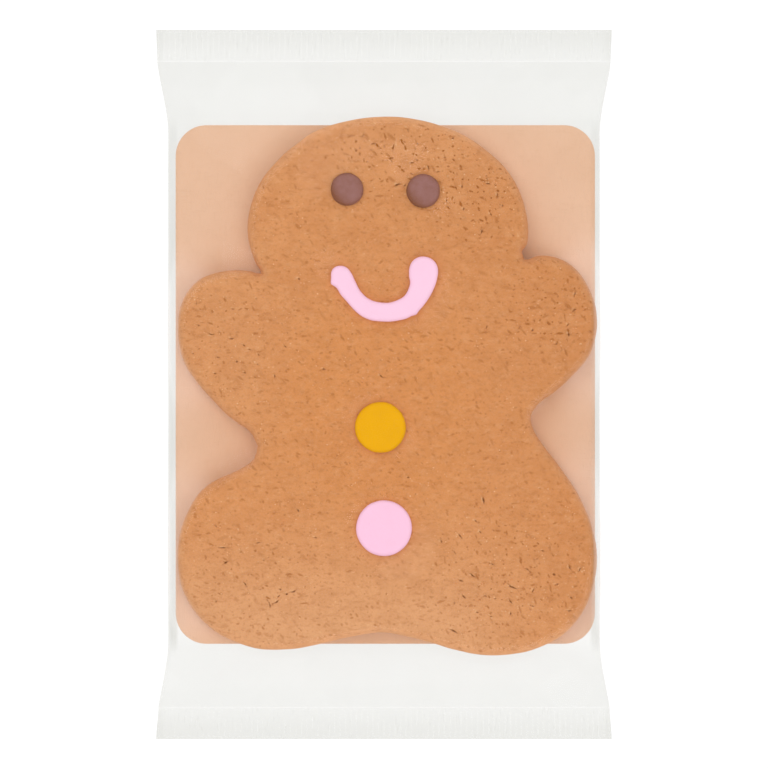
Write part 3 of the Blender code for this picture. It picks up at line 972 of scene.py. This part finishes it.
def crumb_tree(material):
    """Scatters small uneven crumbs over the top of a mesh, more of them where it is crumbly."""
    tree, given, made = new_group("Loose crumbs", "GeometryNodeTree", {
        "Geometry": None,
        "Crumbs per area": 4e4,
        "Extra by cracks": 4e5,
        "Least radius": 0.07 * MM,
        "Most radius": 0.20 * MM,
        "Seed": 3,
    }, "Geometry", "NodeSocketGeometry")
    crumbly = add_node(tree, "GeometryNodeInputNamedAttribute", "Attribute", {"Name": "crumbly"})
    _, _, facing = parts_of(add_node(tree, "GeometryNodeInputNormal", "Normal"))
    spread = add_node(tree, "GeometryNodeDistributePointsOnFaces", "Points", {
        "Mesh": given["Geometry"],
        "Selection": facing.math("GREATER_THAN", 0.9),
        "Density": crumbly * given["Extra by cracks"] + given["Crumbs per area"],
        "Seed": given["Seed"],
    })
    ball = add_node(tree, "GeometryNodeMeshIcoSphere", "Mesh", {"Radius": 1.0, "Subdivisions": 1})
    lump = add_node(tree, "ShaderNodeTexNoise", "Color", {"Scale": 1.3})
    shaped = add_node(tree, "GeometryNodeSetPosition", "Geometry", {
        "Geometry": ball,
        "Offset": vectors("SUBTRACT", lump, (0.5, 0.5, 0.5)),
    })
    size = add_node(tree, "FunctionNodeRandomValue", 1, {
        2: given["Least radius"],
        3: given["Most radius"],
        "Seed": given["Seed"],
    })
    turn = {1: (6.3, 6.3, 6.3), "Seed": 5}
    placed = add_node(tree, "GeometryNodeInstanceOnPoints", 0, {
        "Points": spread,
        "Instance": shaped,
        "Rotation": add_node(tree, "FunctionNodeRandomValue", 0, turn, data_type="FLOAT_VECTOR"),
        "Scale": size,
    })
    end_tree(tree, made, placed, material)
    return tree


def applied(name, mesh, tree, inputs):
    """The plain mesh object that a Geometry Nodes tree makes from a mesh."""
    source = add_object("source", mesh)
    modifier = source.modifiers.new(tree.name, "NODES")
    modifier.node_group = tree
    for socket in tree.interface.items_tree:
        if socket.item_type == "SOCKET" and socket.in_out == "INPUT" and socket.name in inputs:
            modifier[socket.identifier] = inputs[socket.name]
    graph = bpy.context.evaluated_depsgraph_get()
    made = bpy.data.meshes.new_from_object(source.evaluated_get(graph), depsgraph=graph)
    if not made.polygons:
        raise RuntimeError(f"{tree.name} made nothing for {name}")
    bpy.data.objects.remove(source)
    made.name = name
    return add_object(name, made)


class GINGER_OT_crumbs(bpy.types.Operator):
    """Scatters pale loose crumbs on the cookie, most of them beside its cracks"""

    bl_idname = "ginger.crumbs"
    bl_label = "Crumbs"

    def execute(self, context):
        made = context.scene.ginger_cookie
        material, tree, shader = new_material("pale_crumb")
        tone = mixed(mottle(tree, 2.5 * MM), made.crumb_and_highlight, made.crust)
        put_on(shader, Base_Color=tone, Roughness=0.8, Specular_IOR_Level=0.2)
        baked = bpy.data.objects["baked_cookie"].data.copy()
        crumbs = applied("loose_crumbs", baked, crumb_tree(material), {"Seed": made.seed})
        finish_piece(crumbs, "gingerbread", material)
        return {"FINISHED"}


# ---------------------------------------------------------------- icing and chocolate

# Where the piped mouth's edge bulges or draws in: x, y, how far and over what width, in mm.
MOUTH_NUBS = (
    (-11.6, 23.0, 0.70, 0.9), (7.2, 16.0, 0.35, 0.7), (-9.8, 27.0, -0.18, 1.5),
    (-8.6, 18.9, -0.18, 1.6), (-7.5, 25.0, 0.22, 1.3), (-3.6, 15.3, 0.30, 2.2),
    (0.5, 14.6, 0.18, 1.8), (0.7, 18.7, -0.16, 2.5), (4.6, 15.2, 0.22, 1.6),
    (6.1, 24.4, 0.34, 1.2), (10.4, 20.2, -0.26, 3.0), (10.0, 28.9, -0.22, 3.0),
    (-7.0, 17.2, -0.20, 1.8), (-1.8, 18.9, -0.10, 1.5), (4.5, 20.2, -0.14, 1.6),
)
# Each eye's seed, and how far it sits from its solid's middle in mm.
EYES = {"eye_left": (21, (0.04, -0.18)), "eye_right": (22, (-0.03, -0.22))}


def make_icing_material(name, tone, deep):
    """Matt royal icing, a little deeper in colour at its edge."""
    material, tree, shader = new_material(name)
    cloud = mottle(tree, 2.4 * MM, 0.35, 0.7)
    tone = layered(tone, (attribute_of(tree, "rim") * 0.4, deep), (cloud * 0.12, deep))
    relief = mottle(tree, 0.5 * MM) + mottle(tree, 1.8 * MM)
    put_on(
        shader, Base_Color=tone, Roughness=cloud.ramp(0, 1, 0.42, 0.55),
        Specular_IOR_Level=0.0, Normal=bumped(relief, 0.02 * MM),
    )
    return material


def make_chocolate_material():
    """Milk chocolate with a pale bloom, and painted shade round its edge and most on its lower left
    side.
    """
    made = bpy.context.scene.ginger_icing
    material, tree, shader = new_material("bloomed_chocolate")
    cloud = mottle(tree, 1.5 * MM, 0.3, 0.7)
    painted_dome_shade = attribute_of(tree, "painted_dome_shade")
    tone = layered(made.bloom, (cloud * 0.3, made.chocolate), (painted_dome_shade, made.chocolate))
    put_on(
        shader, Base_Color=tone, Roughness=cloud.ramp(0, 1, 0.5, 0.65),
        Specular_IOR_Level=0.2, Normal=bumped(mottle(tree, 0.6 * MM), 0.02 * MM),
    )
    return material


def add_decoration(
    name, node, slot, material, shoulder, foot, rim_width, seed, nubs=(), nudge=(0, 0)
):
    """An icing or chocolate piece where its CAD node is, with a wavering edge and a rounded top."""
    made = bpy.context.scene.ginger_icing
    rng = np.random.default_rng(seed)
    low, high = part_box(node)
    outline = smooth_closed(widest_ring(node), made.spacing) + nudge
    waver = made.waver * smooth_noise(outline, 2.6 * MM, seed)
    outline = inset(outline, -(waver + bulged(outline, nubs)))

    def relief(points, depth):
        soft = smooth_noise(points, 3.2 * MM, seed + 0.5)
        return 0.05 * MM * soft * smooth_step(depth, 0, MM)

    points, faces, depth = slab(
        outline, COOKIE_HIGH.z - made.sink, high.z, shoulder, foot, made.spacing, rng, relief
    )
    rim = 1 - smooth_step(depth, 0, rim_width)
    # For the eyes' painted shade: darker round the edge and towards the lower left, where a dome turns
    # from the light.
    low_left = -(points[:, :2] - outline.mean(axis=0)) @ (0.75, 0.65) / (high.x - low.x) * 2
    values = {
        "rim": rim,
        "painted_dome_shade": np.clip(0.4 * rim**2 + 0.95 * smooth_step(low_left, 0.2, 1.0), 0, 1),
    }
    piece = add_piece(name, points, faces, values)
    return finish_piece(piece, slot, material, node)


class GINGER_OT_icing(bpy.types.Operator):
    """Pipes the mouth and presses on the two buttons"""

    bl_idname = "ginger.icing"
    bl_label = "Icing"

    def execute(self, context):
        made = context.scene.ginger_icing
        pink = make_icing_material("pink_icing", made.pink, tuple(0.90 * c for c in made.pink))
        pale = make_icing_material("mouth_icing", made.mouth, made.pink)
        yellow = make_icing_material(
            "yellow_icing", made.yellow, (0.80 * made.yellow[0], 0.74 * made.yellow[1], 0.002)
        )
        edges = (1.0 * MM, 0.6 * MM), (0.3 * MM, 0.35 * MM)
        add_decoration("piped_mouth", "mouth", "pink_icing", pale, *edges, 0.9 * MM, 11, MOUTH_NUBS)
        add_decoration("upper_button", "button_yellow", "yellow_icing", yellow, *edges, 0.8 * MM, 12)
        add_decoration("lower_button", "button_pink", "pink_icing", pink, *edges, 0.8 * MM, 13)
        return {"FINISHED"}


class GINGER_OT_eyes(bpy.types.Operator):
    """Sets the two chocolate eyes, low domes with a pale bloom"""

    bl_idname = "ginger.eyes"
    bl_label = "Eyes"

    def execute(self, context):
        chocolate = make_chocolate_material()
        for node, (seed, nudge) in EYES.items():
            low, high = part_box(node)
            radius = (high.x - low.x) / 2
            edges = (0.92 * radius, 1.2 * MM), (0.3 * MM, 0.3 * MM)
            add_decoration(
                f"chocolate_{node}", node, "chocolate", chocolate, *edges, 1.3 * MM, seed,
                nudge=np.multiply(nudge, MM),
            )
        return {"FINISHED"}


# ---------------------------------------------------------------- card


def make_board_material():
    """Tan board with darker fibres, and painted shade that darkens it towards its lower right."""
    made = bpy.context.scene.ginger_card
    material, tree, shader = new_material("tan_board")
    x, y, _ = parts_of(object_place(tree))
    cloud = mottle(tree, 9 * MM, 0.3, 0.75)
    fibres = mottle(tree, 0.35 * MM, 0.50, 0.72, 2.0, (1.0, 7.0, 1.0))
    threads = mottle(tree, 0.3 * MM, 0.58, 0.70, 2.0, (9.0, 1.0, 1.0))
    # Painted shade: darker from the middle downwards, and more so towards the right.
    painted_board_shade = y.ramp(30 * MM, -10 * MM) * x.ramp(-48 * MM, 48 * MM, 0.14, 0.30)
    dots = specks(tree, 3.2 * MM, 0.07, 0.25) * 0.35
    tone = made.board
    for where in (cloud * 0.10, painted_board_shade, fibres * 0.10, threads * 0.10, dots):
        tone = mixed(where, tone, made.fibre_and_shade)
    put_on(
        shader, Base_Color=tone, Roughness=cloud.ramp(0, 1, 0.78, 0.9),
        Specular_IOR_Level=0.2, Normal=bumped(fibres + threads, 0.015 * MM),
    )
    return material


class GINGER_OT_card(bpy.types.Operator):
    """Cuts the tan card that the cookie lies on"""

    bl_idname = "ginger.card"
    bl_label = "Card"

    def execute(self, context):
        made = context.scene.ginger_card
        outline = resampled(rounded_rectangle(CARD_LOW, CARD_HIGH, made.corner), 0.8 * MM)
        edge = (0.08 * MM, 0.08 * MM)
        rng = np.random.default_rng(31)

        def relief(points, depth):
            return 0.05 * MM * smooth_noise(points, 30 * MM, 6.2)

        points, faces, _ = slab(
            outline, CARD_LOW.z, CARD_HIGH.z, edge, edge, 1.0 * MM, rng, relief, steps=1
        )
        card = add_piece("backing_card", points, faces, sharp=30)
        finish_piece(card, "tan_card", make_board_material(), "card")
        return {"FINISHED"}


# ---------------------------------------------------------------- film


# The straight sides start to flare and have flared fully this far from the pack's middle. At the
# foot they flare a little later.
FLARE_FROM = 57 * MM
FLARE_TO = 77 * MM
FOOT_LATER = 1.8 * MM
# How deep the pleats' pattern reaches into the bag from its ends.
PLEATED_FROM = 52 * MM
PLEATED_TO = 70 * MM
# The folds take the cookie's wall height where it comes this close to them.
WALL_REACH = 2.6 * MM
# Angles round a fold at which it has points, from the front film to the back.
FOLD_TURNS = np.radians((60, 20, -20, -60))
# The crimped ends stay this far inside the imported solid, at their sides and at their ends.
SEAL_SIDE_GAP = 0.02 * MM
SEAL_END_GAP = 0.005 * MM


def film_half_width(y):
    """Half the film's width at a place along the pack: straight sides that flare to the seals."""
    made = bpy.context.scene.ginger_film
    body, seal = made.body_width / 2, (PACK_HIGH.x - PACK_LOW.x) / 2
    along = np.where(y > 0, y, -y - FOOT_LATER)
    return body + (seal - body) * smooth_step(along, FLARE_FROM, FLARE_TO)


def settled(height, lowest, free, spacing, sag, turns=900):
    """A taut sheet's height over what lies under it, by over-relaxed averaging of neighbours."""
    rows, columns = np.indices(height.shape)
    for _ in range(turns):
        for parity in (0, 1):
            padded = np.pad(height, 1, mode="edge")
            around = padded[:-2, 1:-1] + padded[2:, 1:-1] + padded[1:-1, :-2] + padded[1:-1, 2:]
            wanted = around / 4 - sag * spacing**2 / 4
            moved = np.maximum(height + 1.8 * (wanted - height), lowest)
            height = np.where(free & ((rows + columns) % 2 == parity), moved, height)
    return height


def contents_height(points, room):
    """How high the contents stand within a small room of each point, their unevenness included."""
    corner = bpy.context.scene.ginger_card.corner
    cookie = bpy.context.scene.ginger_cookie
    card = outline_distance(points, rounded_rectangle(CARD_LOW, CARD_HIGH, corner)) + room
    height = np.where(card > 0, CARD_HIGH.z, 0.0)
    depth = outline_distance(points, cookie_outline()) + room
    part = np.clip(1 - depth / cookie.shoulder_width, 0, 1)
    uneven = 1.5 * cookie.waves + 2 * cookie.bumps
    top = COOKIE_HIGH.z + uneven - cookie.shoulder_height * (1 - np.sqrt(1 - part**2))
    height = np.where(depth > 0, np.maximum(height, top), height)
    for node in DECORATIONS:
        inside = outline_distance(points, widest_ring(node)) + room > 0
        height = np.where(inside, np.maximum(height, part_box(node)[1].z), height)
    return height


def film_sheets(made):
    """The front and back films between the seals, as grids of points, and the folds' radius."""
    seal_from = PACK_HIGH.y - made.seal_length
    rows = round(2 * seal_from / made.spacing) + 1
    columns = round(made.body_width / made.spacing) + 1
    along = np.linspace(-seal_from, seal_from, rows)
    across = np.linspace(-1, 1, columns)
    lift = smooth_step(np.abs(along), FLARE_FROM, seal_from)
    fold = FOLD * (1 - lift) + 0.10 * MM * lift
    waver = smooth_noise(np.column_stack([along, along]), 14 * MM)
    edge = film_half_width(along) + 0.06 * MM * waver * (1 - lift)
    x = (edge - fold)[:, None] * across
    y = np.repeat(along[:, None], columns, axis=1)
    spots = np.column_stack([x.ravel(), y.ravel()])

    sides = []
    for side in (-1, 1):
        reach = outline_distance(np.column_stack([side * edge, along]), cookie_outline())
        close = np.exp(-((np.minimum(reach + 0.5 * MM, 0) / WALL_REACH) ** 2))
        middle = FOLD + (made.seal_height - FOLD) * lift + (0.42 * COOKIE_HIGH.z - FOLD) * close
        sides.append((middle, fold + 2.0 * MM * close))
    share = (across + 1) / 2
    middle = sides[0][0][:, None] * (1 - share) + sides[1][0][:, None] * share
    wall = sides[0][1][:, None] * (1 - share) + sides[1][1][:, None] * share

    held = middle + wall
    contents = contents_height(spots, 0.8 * made.spacing).reshape(x.shape) + made.clearance
    lowest = np.maximum(contents, (FOLD + (made.seal_height - FOLD) * lift)[:, None])
    free = np.ones(x.shape, bool)
    free[[0, -1]] = False
    free[:, [0, -1]] = False
    front = np.where(free, np.maximum(held, lowest), held)
    front = settled(front, lowest, free, made.spacing, made.sag)

    ends = smooth_step(np.abs(y), PLEATED_FROM, PLEATED_TO)
    pleats = smooth_noise(spots * (1.0, 0.22), 5 * MM, 2.2).reshape(x.shape) * ends
    creases = smooth_noise(spots * (1.0, 0.6), 11 * MM, 7.7).reshape(x.shape)
    loose = smooth_step(front - lowest, 0.05 * MM, 1.0 * MM) * free
    front = front + made.pleats * loose * (pleats + 0.8 * creases)

    low = 0.05 * MM + (made.seal_height - 0.15 * MM) * lift
    rim = smooth_step(np.abs(across), 0.97, 1.0)
    back = low[:, None] + (middle - wall - low[:, None]) * rim
    inner = (1 - rim) * (lift < 0.9)[:, None]
    back = np.maximum(back + 0.4 * made.pleats * pleats * inner, 0.03 * MM)
    return x, y, front, back, fold


def bag_mesh(x, y, front, back, fold):
    """Points and faces of the closed bag: each row runs over the front, a fold, the back, a fold."""
    loops = []
    for r in range(len(x)):
        rims = []
        for side, sign in ((-1, 1), (0, -1)):
            middle, half = (front[r, side] + back[r, side]) / 2, (front[r, side] - back[r, side]) / 2
            rim_x = x[r, side] + sign * fold[r] * np.cos(FOLD_TURNS)
            rim_z = middle + half * np.sin(FOLD_TURNS)
            rims.append(np.column_stack([rim_x, np.full(len(FOLD_TURNS), y[r, 0]), rim_z]))
        over = np.column_stack([x[r], y[r], front[r]])
        under = np.column_stack([x[r], y[r], back[r]])
        loops.append(np.concatenate([over, rims[0], under[::-1], rims[1][::-1]]))
    count = len(loops[0])
    faces = [tuple(reversed(range(count))), tuple(range(count * (len(x) - 1), count * len(x)))]
    for start in range(0, count * (len(x) - 1), count):
        for i in range(count):
            j = (i + 1) % count
            faces.append((start + i, start + j, start + count + j, start + count + i))
    return np.concatenate(loops), faces


def crimp_haze(tree, across, along):
    """The haze of a crimped end: it grows towards the film's cut edges, with fine ticks in it."""
    made = bpy.context.scene.ginger_film
    ticks = mottle(tree, 0.8 * MM, 0.60, 0.74, 1.0, (0.45, 2.6, 1.0))
    outer = along.ramp(PACK_HIGH.y - made.seal_length, PACK_HIGH.y, 0.88, 1.15)
    lip = along.ramp(PACK_HIGH.y - 0.35 * MM, PACK_HIGH.y - 0.1 * MM, 0, 0.8)
    edge = across.ramp(PACK_HIGH.x - 2.6 * MM, PACK_HIGH.x, 0, 0.2)
    return (outer + lip + ticks * 0.15 + edge) * made.seal_haze


def bag_haze(tree, y, across, along):
    """The haze of the bag: faint over its front and denser at the folds, with painted shade in a strip
    beside the card.
    """
    made = bpy.context.scene.ginger_film
    cloud = mottle(tree, 12 * MM, 0.3, 0.7, 3.0)
    headward = y.ramp(-PACK_HIGH.y, PACK_HIGH.y, -0.06, 0.05)
    folds = attribute_of(tree, "fold") * along.ramp(50 * MM, 60 * MM, 0.30, 0.12)
    # Painted shade: denser haze in a strip just beside the card's long edges.
    painted_shade_band = across.ramp(49.3 * MM, 47.9 * MM) * across.ramp(46.6 * MM, 47.6 * MM)
    beside = y.ramp(48 * MM, 24 * MM, 0.25, 0.70) + y.ramp(-18 * MM, -44 * MM, 0.0, 0.50)
    painted_shade_band = painted_shade_band * (beside * along.ramp(62 * MM, 56 * MM))
    return (cloud.ramp(0, 1, 0.97, 1.03) + headward + folds + painted_shade_band) * made.haze


def make_film_material(name, crimped):
    """Clear film with a faint haze, glossier where it is seen at a slant, with a painted reflection
    that makes it paler there.
    """
    made = bpy.context.scene.ginger_film
    material, tree, shader = new_material(name)
    x, y, _ = parts_of(object_place(tree))
    across, along = x.math("ABSOLUTE"), y.math("ABSOLUTE")
    slant = add_node(tree, "ShaderNodeLayerWeight", "Facing", {"Blend": 0.5})
    gloss = slant.ramp(0.05, 0.55, 0.0, 0.05)
    # Seen at a slant the film takes the glare colour: a painted reflection of the white surroundings.
    whiter = slant.ramp(0.05, 0.35)
    if crimped:
        haze = crimp_haze(tree, across, along)
    else:
        haze = bag_haze(tree, y, across, along)
        # Near the cookie's edge the front film gets more of the painted white reflection.
        bent = attribute_of(tree, "bent")
        gloss = gloss + bent * 0.02
        whiter = whiter.math("MAXIMUM", bent * 0.15)
    put_on(
        shader, Base_Color=mixed(whiter, made.tint, made.glare),
        Alpha=haze.math("ADD", gloss, clamp=True), Specular_IOR_Level=0.5, IOR=1.6,
        Roughness=mottle(tree, 3 * MM, 0.4, 0.8, 3.0).ramp(0, 1, 0.06, 0.14),
    )
    return material


class GINGER_OT_film(bpy.types.Operator):
    """Drapes the clear bag over the contents, from one crimped end to the other"""

    bl_idname = "ginger.film"
    bl_label = "Film"

    def execute(self, context):
        made = context.scene.ginger_film
        x, y, front, back, fold = film_sheets(made)
        points, faces = bag_mesh(x, y, front, back, fold)
        beside = film_half_width(points[:, 1]) - np.abs(points[:, 0])
        front = points[:, 2] > 1.5 * MM
        off = outline_distance(points[:, :2], cookie_outline()) / MM
        values = {
            "fold": 1 - smooth_step(beside, 0, 1.3 * MM),
            # Where the front film passes over the cookie's edge, for its painted reflection.
            "bent": front * np.exp(-((off / 1.1) ** 2)),
        }
        film = add_piece("clear_bag", points, faces, values, sharp=60)
        finish_piece(film, "clear_film", make_film_material("clear_film", False), "film_pack")
        return {"FINISHED"}


def seal_tree(material):
    """One crimped end at the pack's head: a flared strip of sealed film with ribs along it."""
    tree, given, made = new_group("Crimped seal", "GeometryNodeTree", {
        "Geometry": None,
        "Start": 0.0733,
        "Length": 0.0073,
        "Inner Half Width": 0.0515,
        "Outer Half Width": 0.0518,
        "Height": 0.0026,
        "Thickness": 0.12 * MM,
        "Rib Pitch": 0.00125,
        "Rib Depth": 0.0001,
        "Turn": 0.0,
    }, "Geometry", "NodeSocketGeometry")
    sheet = add_node(tree, "GeometryNodeMeshGrid", "Mesh", {
        "Size X": 2.0, "Size Y": 1.0, "Vertices X": 500, "Vertices Y": 10,
    })
    across, along, _ = parts_of(add_node(tree, "GeometryNodeInputPosition", 0))
    out = along + 0.5
    x = across * out.ramp(0.0, 1.0, given["Inner Half Width"], given["Outer Half Width"])
    y = out * given["Length"] + given["Start"]
    flat = {"Vector": joined(tree, x, y, 0.0), "Scale": 260.0, "Detail": 1.0}
    uneven = add_node(tree, "ShaderNodeTexNoise", "Fac", flat)
    wave = (x / given["Rib Pitch"] * (2 * math.pi)).math("SINE")
    amount = uneven.ramp(0.30, 0.70, 0.45, 1.0) * out.ramp(0.0, 0.12)
    z = given["Thickness"] * -0.5 + given["Height"] + wave * amount * given["Rib Depth"]
    base = add_node(tree, "GeometryNodeSetPosition", 0, {
        "Geometry": sheet, "Position": joined(tree, x, y, z),
    })
    raised = add_node(tree, "GeometryNodeExtrudeMesh", "Mesh", {
        "Mesh": base, "Offset Scale": given["Thickness"], "Individual": False,
    })
    below = add_node(tree, "GeometryNodeFlipFaces", 0, {"Mesh": base})
    both = add_node(tree, "GeometryNodeJoinGeometry", 0, {0: raised})
    plug(both.socket.node.inputs[0], below)
    solid = {"Geometry": both, "Distance": 1e-6}
    turned = add_node(tree, "GeometryNodeTransform", 0, {
        "Geometry": add_node(tree, "GeometryNodeMergeByDistance", 0, solid),
        "Rotation": joined(tree, 0.0, 0.0, given["Turn"]),
    })
    end_tree(tree, made, turned, material)
    return tree


class GINGER_OT_seals(bpy.types.Operator):
    """Crimps the two ends of the film"""

    bl_idname = "ginger.seals"
    bl_label = "Crimped ends"

    def execute(self, context):
        made = context.scene.ginger_film
        material = make_film_material("crimped_film", True)
        tree = seal_tree(material)
        start = PACK_HIGH.y - made.seal_length
        for name, end in (("seal_head_end", 1), ("seal_foot_end", -1)):
            inner, outer = film_half_width(np.array([start, PACK_HIGH.y]) * end) - SEAL_SIDE_GAP
            sizes = {
                "Start": start, "Length": made.seal_length - SEAL_END_GAP,
                "Inner Half Width": float(inner), "Outer Half Width": float(outer),
                "Height": made.seal_height, "Rib Pitch": made.rib_pitch,
                "Rib Depth": made.rib_depth, "Turn": 0.0 if end > 0 else math.pi,
            }
            seal = applied(name, bpy.data.meshes.new("blank"), tree, sizes)
            seal.data.shade_smooth()
            finish_piece(seal, "clear_film", material, "film_pack")
        return {"FINISHED"}


# ---------------------------------------------------------------- stage

SOFTBOX_PLACE = (-0.45, 0.55, 1.25)
SOFTBOX_SIZE = 0.9
FLOOR_HALF = 3.0
FLOOR_GAP = 0.05 * MM
# The camera stands over this place along the pack.
AIM = 0.11 * MM


def add_softbox(name, place, power):
    """A square area light that points at the pack and isn't seen itself."""
    light = bpy.data.lights.new(name, "AREA")
    light.shape = "SQUARE"
    light.size = SOFTBOX_SIZE
    light.energy = power
    obj = add_object(name, light)
    obj.location = place
    obj.rotation_euler = (-Vector(place)).to_track_quat("-Z", "Y").to_euler()
    obj.visible_camera = False


class GINGER_OT_stage(bpy.types.Operator):
    """Sets up the pale floor, the soft lights, the white surroundings and the camera"""

    bl_idname = "ginger.stage"
    bl_label = "Stage"

    def execute(self, context):
        made = context.scene.ginger_stage
        scene = context.scene
        scene.view_settings.view_transform = "Standard"

        corners = [(-1, -1), (1, -1), (1, 1), (-1, 1)]
        corners = [(x * FLOOR_HALF, y * FLOOR_HALF, -FLOOR_GAP) for x, y in corners]
        floor = add_piece("floor", corners, [(0, 1, 2, 3)])
        material, tree, shader = new_material("pale_floor")
        darker = tuple(0.99 * part for part in made.floor)
        put_on(
            shader, Base_Color=mixed(mottle(tree, 0.4, 0.3, 0.7), made.floor, darker),
            Roughness=0.8, Specular_IOR_Level=0.1,
            Emission_Color=(1, 1, 1, 1), Emission_Strength=made.glow,
        )
        floor.data.materials.append(material)

        world = bpy.data.worlds.new("white surroundings")
        world.use_nodes = True
        sky = world.node_tree.nodes["Background"]
        sky.inputs["Color"].default_value = (1, 1, 1, 1)
        sky.inputs["Strength"].default_value = made.sky
        scene.world = world
        add_softbox("main softbox", SOFTBOX_PLACE, made.key)
        x, y, z = SOFTBOX_PLACE
        add_softbox("other softbox", (-x, -y, z), made.fill)

        camera = bpy.data.cameras.new("camera")
        camera.lens = made.lens
        distance = made.framed / camera.sensor_width * camera.lens
        camera.clip_end = 20
        scene.camera = add_object("camera", camera)
        scene.camera.location = (0, AIM, distance)
        return {"FINISHED"}


# ---------------------------------------------------------------- add-on


class GINGER_PT_panel(bpy.types.Panel):
    """Lists the settings and makes each piece"""

    bl_idname = "GINGER_PT_panel"
    bl_label = "Wrapped gingerbread man"
    bl_space_type = "VIEW_3D"
    bl_region_type = "UI"
    bl_category = "Gingerbread"

    def draw(self, context):
        for operator in OPERATORS:
            self.layout.operator(operator.bl_idname)
        for key, settings in SETTINGS.items():
            box = self.layout.box()
            box.label(text=key.replace("ginger_", "").capitalize())
            for field in settings.__annotations__:
                box.prop(getattr(context.scene, key), field)


OPERATORS = (
    GINGER_OT_stage, GINGER_OT_cookie, GINGER_OT_crumbs, GINGER_OT_icing, GINGER_OT_eyes,
    GINGER_OT_card, GINGER_OT_film, GINGER_OT_seals,
)


def register():
    """Adds the settings, the operators and the panel to Blender."""
    for made in (*SETTINGS.values(), *OPERATORS, GINGER_PT_panel):
        bpy.utils.register_class(made)
    for key, settings in SETTINGS.items():
        setattr(bpy.types.Scene, key, PointerProperty(type=settings))


def unregister():
    """Takes them out again."""
    for key in SETTINGS:
        delattr(bpy.types.Scene, key)
    for made in reversed((*SETTINGS.values(), *OPERATORS, GINGER_PT_panel)):
        bpy.utils.unregister_class(made)


def main():
    """Makes every piece and the stage."""
    register()
    for operator in OPERATORS:
        getattr(bpy.ops.ginger, operator.bl_idname.split(".")[1])()


if __name__ == "__main__":
    main()
